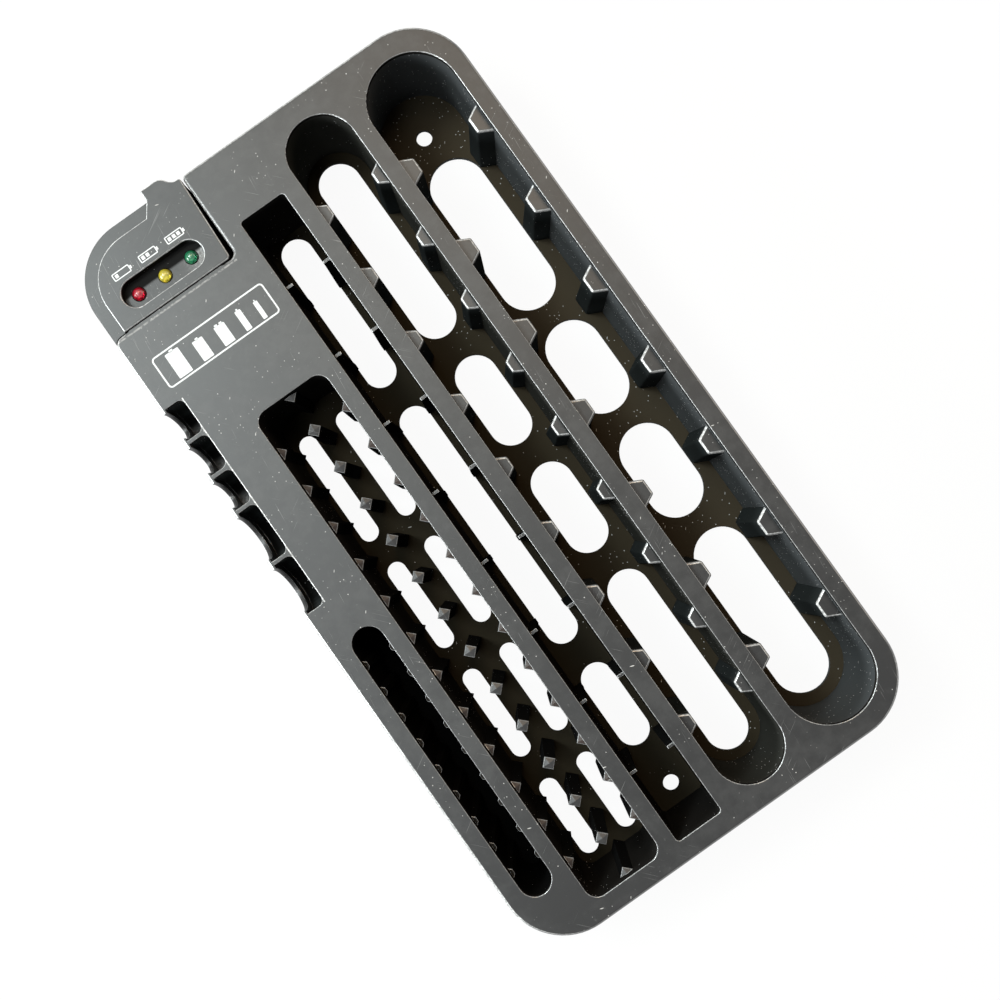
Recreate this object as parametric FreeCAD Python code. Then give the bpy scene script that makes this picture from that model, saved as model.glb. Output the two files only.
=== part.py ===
"""Battery storage case: an open tray that stands batteries upright, with a lift-out tester.

Millimetres, +Z up. The origin is on the underside, midway between the case's outer side
faces and midway between its end faces. +Y points to the tester end, +X to the D-cell side.
"""
import FreeCAD, Part
import math
import os

Vector = FreeCAD.Vector

# ---------------------------------------------------------------- case moulding
case_length = 305.0
case_height = 43.0
case_corner_radius = 23.5
wall = 2.0
deck_thickness = 2.0
floor_thickness = 2.0
draft_degrees = 0.5
deck_edge_radius = 1.2
mouth_edge_radius = 0.3
end_rim_tester = 9.1
end_rim_plain = 7.9

# ---------------------------------------------------------------- the rows, from +X to -X
rim_d_side = 7.1
d_row_width = 35.0
rim_d_to_c = 6.8
c_row_width = 26.9
rim_c_to_nine_volt = 7.0
nine_volt_row_width = 19.0
rim_nine_volt_to_aa = 6.5
aa_row_width = 30.1
rim_aa_to_aaa = 6.2
aaa_row_width = 12.3
rim_aaa_side = 7.1

nine_volt_row_setback = 17.3     # how much sooner it ends than the D and C rows
aa_row_length = 210.0
aaa_row_start = 20.3
aaa_row_from_coins = 15.1
nine_volt_corner_radius = 1.5
aa_corner_radius = 5.0

# ---------------------------------------------------------------- ribs between the cells
rib_draft_degrees = 1.0
rib_embed = 1.0

d_rib_count = 7
d_rib_pitch = 35.9
d_rib_base = 11.8
d_rib_tip = 6.2
d_rib_reach = 5.4
d_rib_drop = 4.0
d_rib_edge_radius = 1.0

c_rib_count = 9
c_rib_pitch = 28.2
c_rib_base = 9.0
c_rib_tip = 4.6
c_rib_reach = 3.8
c_rib_drop = 4.0
c_rib_edge_radius = 0.9

nine_volt_rib_count = 8
nine_volt_rib_pitch = 30.55
nine_volt_rib_thickness = 1.1
nine_volt_rib_reach = 2.7
nine_volt_rib_drop = 3.0

aaa_rib_count = 9
aaa_rib_end_allowance = 1.4      # what the row has over a whole number of cells
aaa_rib_base = 4.2
aaa_rib_tip = 1.8
aaa_rib_reach = 1.3
aaa_rib_drop = 3.0

aa_post_count = 12
aa_post_pitch = 16.3
aa_post_side = 4.0
aa_post_drop = 5.0
aa_post_peak = 0.9

# ---------------------------------------------------------------- openings in the row floors
slot_bridge = 11.5
d_slot_bridge = 9.4
d_slot_width = 22.8
d_slot_shares = (1.83, 1.0, 1.0, 1.71)
d_slot_start = 5.2
d_slot_finish = 29.7
c_slot_width = 17.25
c_slot_shares = (2.05, 1.0, 1.0, 2.05)
c_slot_margin = 4.3
nine_volt_slot_width = 13.1
nine_volt_slot_shares = (1.0, 3.03, 1.9)
nine_volt_slot_start = 26.9
nine_volt_slot_finish = 2.2
aa_slot_width = 7.9
aa_slot_shares = (1.0, 1.18, 1.16, 1.44)
aa_slot_start = 3.4
aa_slot_finish = 8.8
aa_slot_spread = 17.7

# ---------------------------------------------------------------- wall-mounting screw holes
screw_hole_diameter = 6.4
nine_volt_hole_inset = 8.2

# ---------------------------------------------------------------- coin-cell pockets
coin_outer_wall = 1.5
coin_divider = 1.5
coin_pocket_width = 7.3
small_coin_count = 3
small_coin_length = 13.8
large_coin_count = 2
large_coin_length = 21.1
coin_from_bay = 31.0
coin_pocket_depth = 20.0
coin_scoop_depth = 13.5
coin_scoop_shoulder = 1.3
coin_corner_radius = 2.4
coin_floor_wall = 1.6

# ---------------------------------------------------------------- bay for the tester
bay_length_x = 54.3
bay_length_y = 35.1
bay_depth = 30.0
bay_inner_radius = 2.75
bay_lip_radius = 3.5
bay_far_lip_radius = 2.0
seam_edge_radius = 0.2
seam_edge_run_out = 4.0

# ---------------------------------------------------------------- stiffening webs underneath
web_thickness = 1.5
web_height = 14.0
web_row_count = 4
web_row_pitch = 68.0

# ---------------------------------------------------------------- tester housing
tester_side_gap = 1.9
tester_seam_gap = 0.2
tester_outer_inset = 0.4
tester_proud = 0.8
tester_wall = 1.6
tester_corner_radius = 1.6
tester_flare = 1.4
flare_corner_radius = 1.0
corner_rib_length = 3.0
corner_rib_inset = 0.15
shoulder_width = 5.2
shoulder_drop = 1.6
shoulder_edge_radius = 0.5
cover_height = 15.0
cradle_plate_thickness = 2.4
cradle_back_wall = 2.0
fixed_jaw_thickness = 4.0
bay_corner_gap = 0.3

# finger tab on the cover's outer long side
tab_reach = 4.2
tab_left_edge = 38.9
tab_flat_width = 6.4
tab_slope_width = 6.7
tab_thickness = 2.6
tab_swell = 0.35
tab_lead_in = 3.8

# lamp window in the cover
window_length = 34.2
window_width = 10.7
window_depth = 3.5
window_floor = 1.4
window_rim = 1.2
window_side_offset = 4.1
window_end_offset = 6.3
window_edge_radius = 0.5

# ---------------------------------------------------------------- electronics
led_diameter = 5.0
led_flange_diameter = 5.8
led_flange_height = 1.0
led_hole_clearance = 0.2
led_pitch = 11.6
led_top_below_face = 1.2
board_thickness = 1.2
board_length = 38.0
board_width = 20.5
board_from_side = 7.6
board_from_seam = 2.6
board_height_over_plate = 5.6
board_post_diameter = 3.4
board_post_inset = 2.3
board_pad_length = 2.2
chip_length = 5.0
chip_width = 4.0
chip_height = 1.6
resistor_length = 3.2
resistor_width = 1.6
resistor_height = 0.6
resistor_from_leds = 5.6
nine_volt_stud_spacing = 12.7
nine_volt_stud_diameter = 5.0
nine_volt_stud_height = 1.0
nine_volt_stem_diameter = 1.8

# ---------------------------------------------------------------- contacts and slider
running_gap = 0.2
strip_thickness = 0.4
strip_width = 7.0
strip_bow = 1.7
strip_tail_width = 3.0
slot_clearance = 0.1
slider_middle_from_seam = 7.0
slider_jaw_width = 9.0
slider_jaw_thickness = 2.2
slider_jaw_lift = 0.3
slider_length = 34.0
slider_bar_width = 7.2
slider_arm_thickness = 2.0
slider_arm_reach = 8.0
grip_ridge_count = 5
grip_ridge_pitch = 1.8
grip_ridge_height = 0.3
grip_ridge_thickness = 0.8

# ---------------------------------------------------------------- return spring
spring_wire = 0.5
spring_diameter = 4.2
spring_turns = 12
spring_stop_thickness = 1.5
spring_stop_setback = 2.8

# ---------------------------------------------------------------- cover screws
screw_shank_diameter = 2.2
screw_hole_clearance = 0.2
screw_head_diameter = 4.2
screw_head_height = 1.2
screw_drive_width = 0.6
screw_drive_reach = 1.4
screw_drive_depth = 0.6
screw_length = 8.0
boss_diameter = 4.8
boss_gap = 0.6
boss_corner_inset = 10.5

# ---------------------------------------------------------------- places worked out from the sizes
row_widths = (rim_d_side, d_row_width, rim_d_to_c, c_row_width, rim_c_to_nine_volt,
              nine_volt_row_width, rim_nine_volt_to_aa, aa_row_width, rim_aa_to_aaa,
              aaa_row_width, rim_aaa_side)
case_width = sum(row_widths)
side = case_width / 2
end = case_length / 2
deck_underside = case_height - deck_thickness
draft = math.tan(math.radians(draft_degrees))
rib_draft = math.tan(math.radians(rib_draft_degrees))
through = 1.0        # how far a cutting solid runs past the face it cuts
nearly = 1e-4        # two heights or places closer than this are taken as the same

d_row_middle = side - rim_d_side - d_row_width / 2
c_row_middle = d_row_middle - d_row_width / 2 - rim_d_to_c - c_row_width / 2
nine_volt_row_middle = c_row_middle - c_row_width / 2 - rim_c_to_nine_volt - nine_volt_row_width / 2
aa_row_middle = nine_volt_row_middle - nine_volt_row_width / 2 - rim_nine_volt_to_aa - aa_row_width / 2
aaa_row_middle = aa_row_middle - aa_row_width / 2 - rim_aa_to_aaa - aaa_row_width / 2

row_low = -end + end_rim_plain
row_high = end - end_rim_tester
nine_volt_row_high = row_high - nine_volt_row_setback
aa_row_high = row_low + aa_row_length

bay_wall_x = -side + bay_length_x
bay_wall_y = end - bay_length_y
bay_floor = case_height - bay_depth

coin_lengths = [small_coin_length] * small_coin_count + [large_coin_length] * large_coin_count
coin_first_edge = bay_wall_y - coin_from_bay
coin_last_edge = coin_first_edge - sum(coin_lengths) - coin_divider * (len(coin_lengths) - 1)
coin_inner_face = -side + coin_outer_wall + coin_pocket_width
coin_floor = case_height - coin_pocket_depth

aaa_row_low = -end + aaa_row_start
aaa_row_high = coin_last_edge - aaa_row_from_coins
aaa_rib_pitch = (aaa_row_high - aaa_row_low - aaa_rib_end_allowance) / (aaa_rib_count + 1)

tester_left = -side + tester_outer_inset
tester_right = bay_wall_x - tester_side_gap
tester_low = bay_wall_y + tester_seam_gap
tester_high = end - tester_outer_inset
tester_arc = case_corner_radius - tester_outer_inset
tester_face = case_height + tester_proud
shoulder_level = tester_face - shoulder_drop
cover_foot = tester_face - cover_height
cover_ceiling = shoulder_level - tester_wall
plate_foot = cover_foot - cradle_plate_thickness
jaw_face = tester_right - fixed_jaw_thickness

window_right = tester_right - window_end_offset
window_left = window_right - window_length
window_low = tester_low + window_side_offset
window_high = window_low + window_width
window_bottom = tester_face - window_depth
lamp_y = (window_low + window_high) / 2
lamp_x = (window_left + window_right) / 2
lamp_places = (lamp_x - led_pitch, lamp_x, lamp_x + led_pitch)

board_left = tester_left + board_from_side
board_right = board_left + board_length
board_low = tester_low + board_from_seam
board_high = board_low + board_width
board_foot = cover_foot + board_height_over_plate
board_top = board_foot + board_thickness

slider_middle = tester_low + slider_middle_from_seam
slider_low = slider_middle - slider_jaw_width / 2
slider_high = slider_middle + slider_jaw_width / 2
slider_bar_low = slider_low + running_gap
slider_bar_high = slider_bar_low + slider_bar_width
slider_foot = cover_foot + running_gap
slider_top = board_foot - running_gap
slider_inner_end = tester_left + slider_length
slider_jaw_face = tester_left + slider_jaw_thickness
slider_arm_face = slider_inner_end - slider_arm_thickness

spring_stop_left = tester_left + spring_stop_setback
spring_stop_face = spring_stop_left + spring_stop_thickness
spring_start = spring_stop_face + strip_thickness
spring_finish = slider_arm_face - strip_thickness
spring_y = slider_high + running_gap + spring_diameter / 2 + spring_wire
spring_z = (slider_foot + slider_top) / 2


# ================================================================ shape helpers
def box(x_low, x_high, y_low, y_high, z_low, z_high):
    corner = Vector(x_low, y_low, z_low)
    return Part.makeBox(x_high - x_low, y_high - y_low, z_high - z_low, corner)


def rounded_wire(corners, z):
    """Closed outline at height z through (x, y, radius) corners, each rounded by a tangent arc."""
    edges = []
    joints = []
    count = len(corners)
    for index in range(count):
        before = corners[index - 1]
        here = corners[index]
        after = corners[(index + 1) % count]
        point = Vector(here[0], here[1], z)
        radius = here[2]
        if radius <= 0:
            joints.append((point, None, point))
            continue
        to_before = (Vector(before[0], before[1], z) - point).normalize()
        to_after = (Vector(after[0], after[1], z) - point).normalize()
        half_angle = to_before.getAngle(to_after) / 2
        setback = radius / math.tan(half_angle)
        bisector = (to_before + to_after).normalize()
        middle = point + bisector * (radius / math.sin(half_angle) - radius)
        joints.append((point + to_before * setback, middle, point + to_after * setback))
    for index in range(count):
        entry, middle, leave = joints[index]
        if middle is not None:
            edges.append(Part.Arc(entry, middle, leave).toShape())
        next_entry = joints[(index + 1) % count][0]
        if leave.distanceToPoint(next_entry) > nearly:
            edges.append(Part.LineSegment(leave, next_entry).toShape())
    return Part.Wire(edges)


def prism(wire, height):
    return Part.Face(wire).extrude(Vector(0, 0, height))


def rectangle(x_low, x_high, y_low, y_high, radius=0.0):
    return [(x_low, y_low, radius), (x_high, y_low, radius),
            (x_high, y_high, radius), (x_low, y_high, radius)]


def stadium(x_middle, y_low, y_high, width):
    half = width / 2
    return rectangle(x_middle - half, x_middle + half, y_low, y_high, half)


def block(corners, z_low, z_high):
    return prism(rounded_wire(corners, z_low), z_high - z_low)


def frustum(low_points, low_z, high_points, high_z, peak=0.0):
    """Flat-sided solid between two polygons with parallel sides, with a pyramid of the given peak on top."""
    low = [Vector(x, y, low_z) for x, y in low_points]
    high = [Vector(x, y, high_z) for x, y in high_points]
    count = len(low)
    centre = sum_of(low + high) * (0.5 / count)
    outlines = [low]
    for index in range(count):
        following = (index + 1) % count
        outlines.append([low[index], low[following], high[following], high[index]])
    if peak > 0:
        summit = sum_of(high) * (1.0 / count) + Vector(0, 0, peak)
        for index in range(count):
            outlines.append([high[index], high[(index + 1) % count], summit])
    else:
        outlines.append(high)
    faces = [outward_face(outline, centre) for outline in outlines]
    return Part.Solid(Part.Shell(faces))


def sum_of(points):
    total = Vector(0, 0, 0)
    for point in points:
        total = total + point
    return total


def outward_face(outline, centre):
    """Flat face through the points, turned so that it looks away from the centre."""
    normal = (outline[1] - outline[0]).cross(outline[2] - outline[0])
    if normal.dot(outline[0] - centre) < 0:
        outline = outline[::-1]
    return Part.Face(Part.makePolygon(outline + outline[:1]))


def tapered_stadium(x_middle, y_low, y_high, width, extra, z_low, z_high):
    """Round-ended block, width wide at the rim and narrower below by the draft, grown by extra all round."""
    low_half = width / 2 + extra - draft * (case_height - z_low)
    high_half = width / 2 + extra - draft * (case_height - z_high)
    height = z_high - z_low
    first = y_low + width / 2
    last = y_high - width / 2
    up = Vector(0, 0, 1)
    ends = []
    for y in (first, last):
        ends.append(Part.makeCone(low_half, high_half, height, Vector(x_middle, y, z_low), up))
    section = Part.makePolygon([
        Vector(x_middle - low_half, first, z_low),
        Vector(x_middle + low_half, first, z_low),
        Vector(x_middle + high_half, first, z_high),
        Vector(x_middle - high_half, first, z_high),
        Vector(x_middle - low_half, first, z_low)])
    middle = Part.Face(section).extrude(Vector(0, last - first, 0))
    return middle.fuse(ends).removeSplitter()


def tapered_rectangle(x_middle, y_low, y_high, width, radius, extra, z_low, z_high):
    """Square-ended block, drafted like the stadium, with its four upright edges rounded."""
    low_in = draft * (case_height - z_low) - extra
    high_in = draft * (case_height - z_high) - extra
    half = width / 2

    def ring(inset):
        left = x_middle - half + inset
        right = x_middle + half - inset
        return [(left, y_low + inset), (right, y_low + inset),
                (right, y_high - inset), (left, y_high - inset)]

    solid = frustum(ring(low_in), z_low, ring(high_in), z_high)
    upright = [edge for edge in solid.Edges if edge.BoundBox.ZLength > nearly]
    return solid.makeFillet(radius + extra, upright)


def top_edges(shape, z, inside=None):
    """Edges of the shape that lie in the plane at height z, and within the inside test if one is given."""
    found = []
    for edge in shape.Edges:
        bounds = edge.BoundBox
        if abs(bounds.ZMin - z) < nearly and abs(bounds.ZMax - z) < nearly:
            if inside is None or inside(bounds):
                found.append(edge)
    return found


def spread(count, pitch, middle):
    """Places of count copies, pitch apart, about a middle."""
    return [middle + (index - (count - 1) / 2) * pitch for index in range(count)]


# ================================================================ case outlines
def case_outline():
    return rectangle(-side, side, -end, end, case_corner_radius)


def bay_outline(grow=0.0):
    """The corner notch for the tester, running past the case's outside."""
    return [(-side - through, bay_wall_y - grow, 0),
            (bay_wall_x + grow, bay_wall_y - grow, bay_inner_radius + grow),
            (bay_wall_x + grow, end + through, 0),
            (-side - through, end + through, 0)]


def deck_outline():
    """Top plate's outline: the case's, with the tester's corner left out."""
    return [(-side, -end, case_corner_radius), (side, -end, case_corner_radius),
            (side, end, case_corner_radius), (bay_wall_x, end, bay_far_lip_radius),
            (bay_wall_x, bay_wall_y, bay_inner_radius), (-side, bay_wall_y, bay_lip_radius)]


# ================================================================ row spaces and tubs
def d_space(extra, z_low, z_high):
    return tapered_stadium(d_row_middle, row_low, row_high, d_row_width, extra, z_low, z_high)


def c_space(extra, z_low, z_high):
    return tapered_stadium(c_row_middle, row_low, row_high, c_row_width, extra, z_low, z_high)


def nine_volt_space(extra, z_low, z_high):
    return tapered_rectangle(nine_volt_row_middle, row_low, nine_volt_row_high, nine_volt_row_width,
                             nine_volt_corner_radius, extra, z_low, z_high)


def aa_space(extra, z_low, z_high):
    return tapered_rectangle(aa_row_middle, row_low, aa_row_high, aa_row_width,
                             aa_corner_radius, extra, z_low, z_high)


def aaa_space(extra, z_low, z_high):
    return tapered_stadium(aaa_row_middle, aaa_row_low, aaa_row_high, aaa_row_width, extra, z_low, z_high)


row_spaces = (d_space, c_space, nine_volt_space, aa_space, aaa_space)


def wall_rib(base, tip, reach, drop, edge_radius):
    """A rib on a wall at x = 0 that faces +X, standing from the floor to drop below the rim."""
    top = case_height - drop
    foot = floor_thickness - rib_embed
    slope = (base - tip) / 2 / reach

    def plan(z, hidden):
        grow = rib_draft * (top - z)
        front = reach + grow
        half_tip = tip / 2 + grow
        half_root = half_tip + slope * (front + hidden)
        return [(-hidden, -half_root), (front, -half_tip), (front, half_tip), (-hidden, half_root)]

    rib = frustum(plan(foot, rib_embed), foot, plan(top, rib_embed), top)
    if edge_radius > 0:
        fronts = []
        for edge in rib.Edges:
            bounds = edge.BoundBox
            upright = bounds.XMin > 0 and bounds.ZMax > top - nearly
            along_top = bounds.ZMin > top - nearly and bounds.XMax > 0
            if upright or along_top:
                fronts.append(edge)
        rib = rib.makeFillet(edge_radius, fronts)
    return rib


def rib_core(base, tip, reach, drop):
    """The hollow behind a thick rib, open below, that keeps the moulding's wall even."""
    top = case_height - drop - wall
    foot = -through
    slope = (base - tip) / 2 / reach
    back = wall + through

    def plan(z):
        grow = rib_draft * (case_height - drop - z)
        front = reach + grow - wall
        half_front = tip / 2 + grow + slope * wall - wall * math.hypot(1, slope)
        half_back = half_front + slope * (front + back)
        return [(-back, -half_back), (front, -half_front), (front, half_front), (-back, half_back)]

    return frustum(plan(foot), foot, plan(top), top)


def ribs_on_both_walls(rib, x_middle, width, places):
    """Copies of a rib on the two long walls of a row, facing each other."""
    copies = []
    turned = rib.copy()
    turned.rotate(Vector(0, 0, 0), Vector(0, 0, 1), 180)
    for y in places:
        left = rib.copy()
        left.translate(Vector(x_middle - width / 2, y, 0))
        right = turned.copy()
        right.translate(Vector(x_middle + width / 2, y, 0))
        copies += [left, right]
    return copies


def aa_post(x, y):
    """Diamond post with a low pyramid top, drafted wider towards the floor."""
    top = case_height - aa_post_drop
    foot = floor_thickness - rib_embed
    reach = aa_post_side / math.sqrt(2)

    def diamond(z):
        half = reach + rib_draft * (top - z)
        return [(x - half, y), (x, y - half), (x + half, y), (x, y + half)]

    return frustum(diamond(foot), foot, diamond(top), top, aa_post_peak)


def floor_slots(x_middle, y_low, y_high, width, shares, bridge):
    """Round-ended holes that share out a stretch of floor, with a bridge between each two."""
    free = (y_high - y_low - bridge * (len(shares) - 1)) / sum(shares)
    slots = []
    start = y_low
    for share in shares:
        finish = start + free * share
        slots.append(block(stadium(x_middle, start, finish, width), -through, floor_thickness + through))
        start = finish + bridge
    return slots


def screw_hole(x, y):
    return Part.makeCylinder(screw_hole_diameter / 2, floor_thickness + 2 * through, Vector(x, y, -through))


def tub(space, holes):
    """A row's own walls and floor below the deck, pierced by the holes."""
    outside = space(wall, 0, deck_underside)
    inside = space(0, floor_thickness, deck_underside)
    return outside.cut([inside] + holes).removeSplitter()


def dividers(space, ribs, hollows):
    """The ribs or posts as they stand inside a row, on its floor and against its walls."""
    standing = Part.makeCompound(ribs).common(space(0, floor_thickness, deck_underside))
    if hollows:
        standing = standing.cut(hollows)
    return Part.makeCompound(standing.Solids)


def d_rib_places():
    return spread(d_rib_count, d_rib_pitch, (row_low + row_high) / 2)


def d_rib_hollows():
    core = rib_core(d_rib_base, d_rib_tip, d_rib_reach, d_rib_drop)
    return ribs_on_both_walls(core, d_row_middle, d_row_width, d_rib_places())


def d_cell_channel():
    holes = floor_slots(d_row_middle, row_low + d_slot_start, row_high - d_slot_finish,
                        d_slot_width, d_slot_shares, d_slot_bridge)
    holes.append(screw_hole(d_row_middle, row_high - d_row_width / 2))
    return tub(d_space, holes + d_rib_hollows())


def d_cell_ribs():
    rib = wall_rib(d_rib_base, d_rib_tip, d_rib_reach, d_rib_drop, d_rib_edge_radius)
    ribs = ribs_on_both_walls(rib, d_row_middle, d_row_width, d_rib_places())
    return dividers(d_space, ribs, d_rib_hollows())


def c_rib_places():
    return spread(c_rib_count, c_rib_pitch, (row_low + row_high) / 2)


def c_rib_hollows():
    core = rib_core(c_rib_base, c_rib_tip, c_rib_reach, c_rib_drop)
    return ribs_on_both_walls(core, c_row_middle, c_row_width, c_rib_places())


def c_cell_channel():
    holes = floor_slots(c_row_middle, row_low + c_slot_margin, row_high - c_slot_margin,
                        c_slot_width, c_slot_shares, slot_bridge)
    return tub(c_space, holes + c_rib_hollows())


def c_cell_ribs():
    rib = wall_rib(c_rib_base, c_rib_tip, c_rib_reach, c_rib_drop, c_rib_edge_radius)
    ribs = ribs_on_both_walls(rib, c_row_middle, c_row_width, c_rib_places())
    return dividers(c_space, ribs, c_rib_hollows())


def nine_volt_channel():
    holes = floor_slots(nine_volt_row_middle, row_low + nine_volt_slot_start,
                        nine_volt_row_high - nine_volt_slot_finish,
                        nine_volt_slot_width, nine_volt_slot_shares, slot_bridge)
    holes.append(screw_hole(nine_volt_row_middle, row_low + nine_volt_hole_inset))
    return tub(nine_volt_space, holes)


def nine_volt_ribs():
    rib = wall_rib(nine_volt_rib_thickness, nine_volt_rib_thickness, nine_volt_rib_reach,
                   nine_volt_rib_drop, 0)
    places = spread(nine_volt_rib_count, nine_volt_rib_pitch, (row_low + nine_volt_row_high) / 2)
    ribs = ribs_on_both_walls(rib, nine_volt_row_middle, nine_volt_row_width, places)
    return dividers(nine_volt_space, ribs, [])


def aa_cell_channel():
    holes = []
    for x in (aa_row_middle - aa_slot_spread / 2, aa_row_middle + aa_slot_spread / 2):
        holes += floor_slots(x, row_low + aa_slot_start, aa_row_high - aa_slot_finish,
                             aa_slot_width, aa_slot_shares, slot_bridge)
    return tub(aa_space, holes)


def aa_cell_posts():
    places = spread(aa_post_count, aa_post_pitch, (row_low + aa_row_high) / 2)
    columns = (aa_row_middle - aa_row_width / 2, aa_row_middle, aa_row_middle + aa_row_width / 2)
    posts = [aa_post(x, y) for x in columns for y in places]
    posts += [aa_post(aa_row_middle, y) for y in (row_low, aa_row_high)]
    return dividers(aa_space, posts, [])


def aaa_cell_channel():
    return tub(aaa_space, [])


def aaa_cell_ribs():
    rib = wall_rib(aaa_rib_base, aaa_rib_tip, aaa_rib_reach, aaa_rib_drop, 0)
    places = spread(aaa_rib_count, aaa_rib_pitch, (aaa_row_low + aaa_row_high) / 2)
    ribs = ribs_on_both_walls(rib, aaa_row_middle, aaa_row_width, places)
    return dividers(aaa_space, ribs, [])


# ================================================================ coin-cell pockets
def coin_pockets():
    """(low y, high y) of each pocket, from the tester end down."""
    spans = []
    high = coin_first_edge
    for length in coin_lengths:
        spans.append((high - length, high))
        high = high - length - coin_divider
    return spans


def coin_mouth(low, high, z_low, z_high):
    """A pocket's plan in the deck, with the scoop's narrower way out through the outer wall."""
    outside = -side - through
    face = -side + coin_outer_wall
    shoulder_low = low + coin_scoop_shoulder
    shoulder_high = high - coin_scoop_shoulder
    corners = [(face, low, 0), (coin_inner_face, low, coin_corner_radius),
               (coin_inner_face, high, coin_corner_radius), (face, high, 0), (face, shoulder_high, 0),
               (outside, shoulder_high, 0), (outside, shoulder_low, 0), (face, shoulder_low, 0)]
    return block(corners, z_low, z_high)


def coin_cell_pockets():
    spans = coin_pockets()
    block_low = spans[-1][0] - wall
    block_high = spans[0][1] + wall
    body = box(-side, coin_inner_face + wall, block_low, block_high,
               coin_floor - coin_floor_wall, deck_underside)
    cuts = []
    for low, high in spans:
        half = (high - low) / 2
        middle = (low + high) / 2
        plan = [(-side + coin_outer_wall, low, 0), (coin_inner_face, low, coin_corner_radius),
                (coin_inner_face, high, coin_corner_radius), (-side + coin_outer_wall, high, 0)]
        upper = block(plan, coin_floor, deck_underside + through)
        round_floor = Part.makeCylinder(half, case_width, Vector(-side, middle, coin_floor + half),
                                        Vector(1, 0, 0))
        above = box(-side, 0, low, high, coin_floor + half, deck_underside + through)
        cuts.append(upper.common(round_floor.fuse(above)))
        cuts.append(coin_scoop(middle, half - coin_scoop_shoulder))
    return body.cut(cuts).removeSplitter()


def coin_scoop(middle, half):
    """Elliptical finger scoop through the outer wall, between the two shoulders left beside the dividers."""
    depth = coin_scoop_depth - deck_thickness
    major, minor = max(depth, half), min(depth, half)
    centre = Vector(-side - through, middle, deck_underside)
    tall = depth >= half
    major_axis = Vector(0, 0, 1) if tall else Vector(0, 1, 0)
    minor_axis = Vector(0, 1, 0) if tall else Vector(0, 0, 1)
    ellipse = Part.Ellipse(centre + major_axis * major, centre + minor_axis * minor, centre)
    face = Part.Face(Part.Wire([ellipse.toShape()]))
    return face.extrude(Vector(coin_outer_wall + 2 * through, 0, 0))


# ================================================================ deck, skirt, bay and webs
def case_deck():
    plate = block(deck_outline(), deck_underside, case_height)
    mouths = [space(0, floor_thickness, case_height + through) for space in row_spaces]
    mouths += [coin_mouth(low, high, 0, case_height + through) for low, high in coin_pockets()]
    plate = plate.cut(mouths).removeSplitter()

    def on_outline(bounds):
        on_side = bounds.XMin < -side + nearly or bounds.XMax > side - nearly
        on_end = bounds.YMin < -end + nearly or bounds.YMax > end - nearly
        runs_along_x = bounds.XLength > nearly and bounds.YLength < nearly
        across_a_pocket = bounds.XMin < coin_inner_face and runs_along_x
        return (on_side or on_end) and not across_a_pocket

    plate = plate.makeFillet(deck_edge_radius, top_edges(plate, case_height, on_outline))

    def on_mouth(bounds):
        return bounds.XMax > -side + 2 * deck_edge_radius

    plate = plate.makeFillet(mouth_edge_radius, top_edges(plate, case_height, on_mouth))
    return plate.fuse(seam_edge()).removeSplitter()


def seam_edge():
    """Fills the deck's rounded edge where the tester meets it, so only a fine line shows between them."""
    left = -side + bay_lip_radius
    right = bay_wall_x - bay_inner_radius
    back = bay_wall_y - deck_edge_radius
    outline = [(left, back, 0), (right, back, 0), (right - seam_edge_run_out, bay_wall_y, 0),
               (left + seam_edge_run_out, bay_wall_y, 0)]
    bar = block(outline, case_height - deck_edge_radius, case_height)

    def on_seam(bounds):
        return bounds.YMin > bay_wall_y - nearly

    return bar.makeFillet(seam_edge_radius, top_edges(bar, case_height, on_seam))


def lip_cuts():
    """What the rounded lips take off the two corners where the bay opens to the case's outside."""
    low = bay_floor
    high = case_height
    near_x = -side + bay_lip_radius
    near_y = bay_wall_y - bay_lip_radius
    near = box(-side - through, near_x, near_y, bay_wall_y + through, low, high)
    near = near.cut(Part.makeCylinder(bay_lip_radius, high - low, Vector(near_x, near_y, low)))
    far_x = bay_wall_x + bay_far_lip_radius
    far_y = end - bay_far_lip_radius
    far = box(bay_wall_x - through, far_x, far_y, end + through, low, high)
    far = far.cut(Part.makeCylinder(bay_far_lip_radius, high - low, Vector(far_x, far_y, low)))
    return [near, far]


def case_skirt():
    outer = rounded_wire(case_outline(), 0)
    ring = prism(outer, deck_underside).cut(prism(outer.makeOffset2D(-wall), deck_underside))
    bay_cut = block(bay_outline(wall), bay_floor - floor_thickness, case_height)
    spans = coin_pockets()
    coin_cut = box(-side - through, coin_inner_face + wall, spans[-1][0] - wall, spans[0][1] + wall,
                   coin_floor - coin_floor_wall, case_height)
    return ring.cut([bay_cut, coin_cut] + lip_cuts()).removeSplitter()


def tester_bay():
    """Floor, two inner walls and low outer corner of the notch that the tester stands in."""
    outer = rounded_wire(case_outline(), bay_floor - floor_thickness)
    solid = prism(outer, deck_underside - bay_floor + floor_thickness)
    solid = solid.common(block(bay_outline(wall), bay_floor - floor_thickness, deck_underside))
    solid = solid.cut([block(bay_outline(), bay_floor, case_height)] + lip_cuts())
    corner_top = plate_foot - bay_corner_gap
    ring = prism(outer, corner_top - bay_floor + floor_thickness)
    ring = ring.cut(prism(outer.makeOffset2D(-wall), corner_top))
    corner = ring.common(box(-side, tester_left + tester_arc - bay_corner_gap,
                             slider_high + running_gap + bay_corner_gap, end, bay_floor, corner_top))
    return solid.fuse(corner).removeSplitter()


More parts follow.
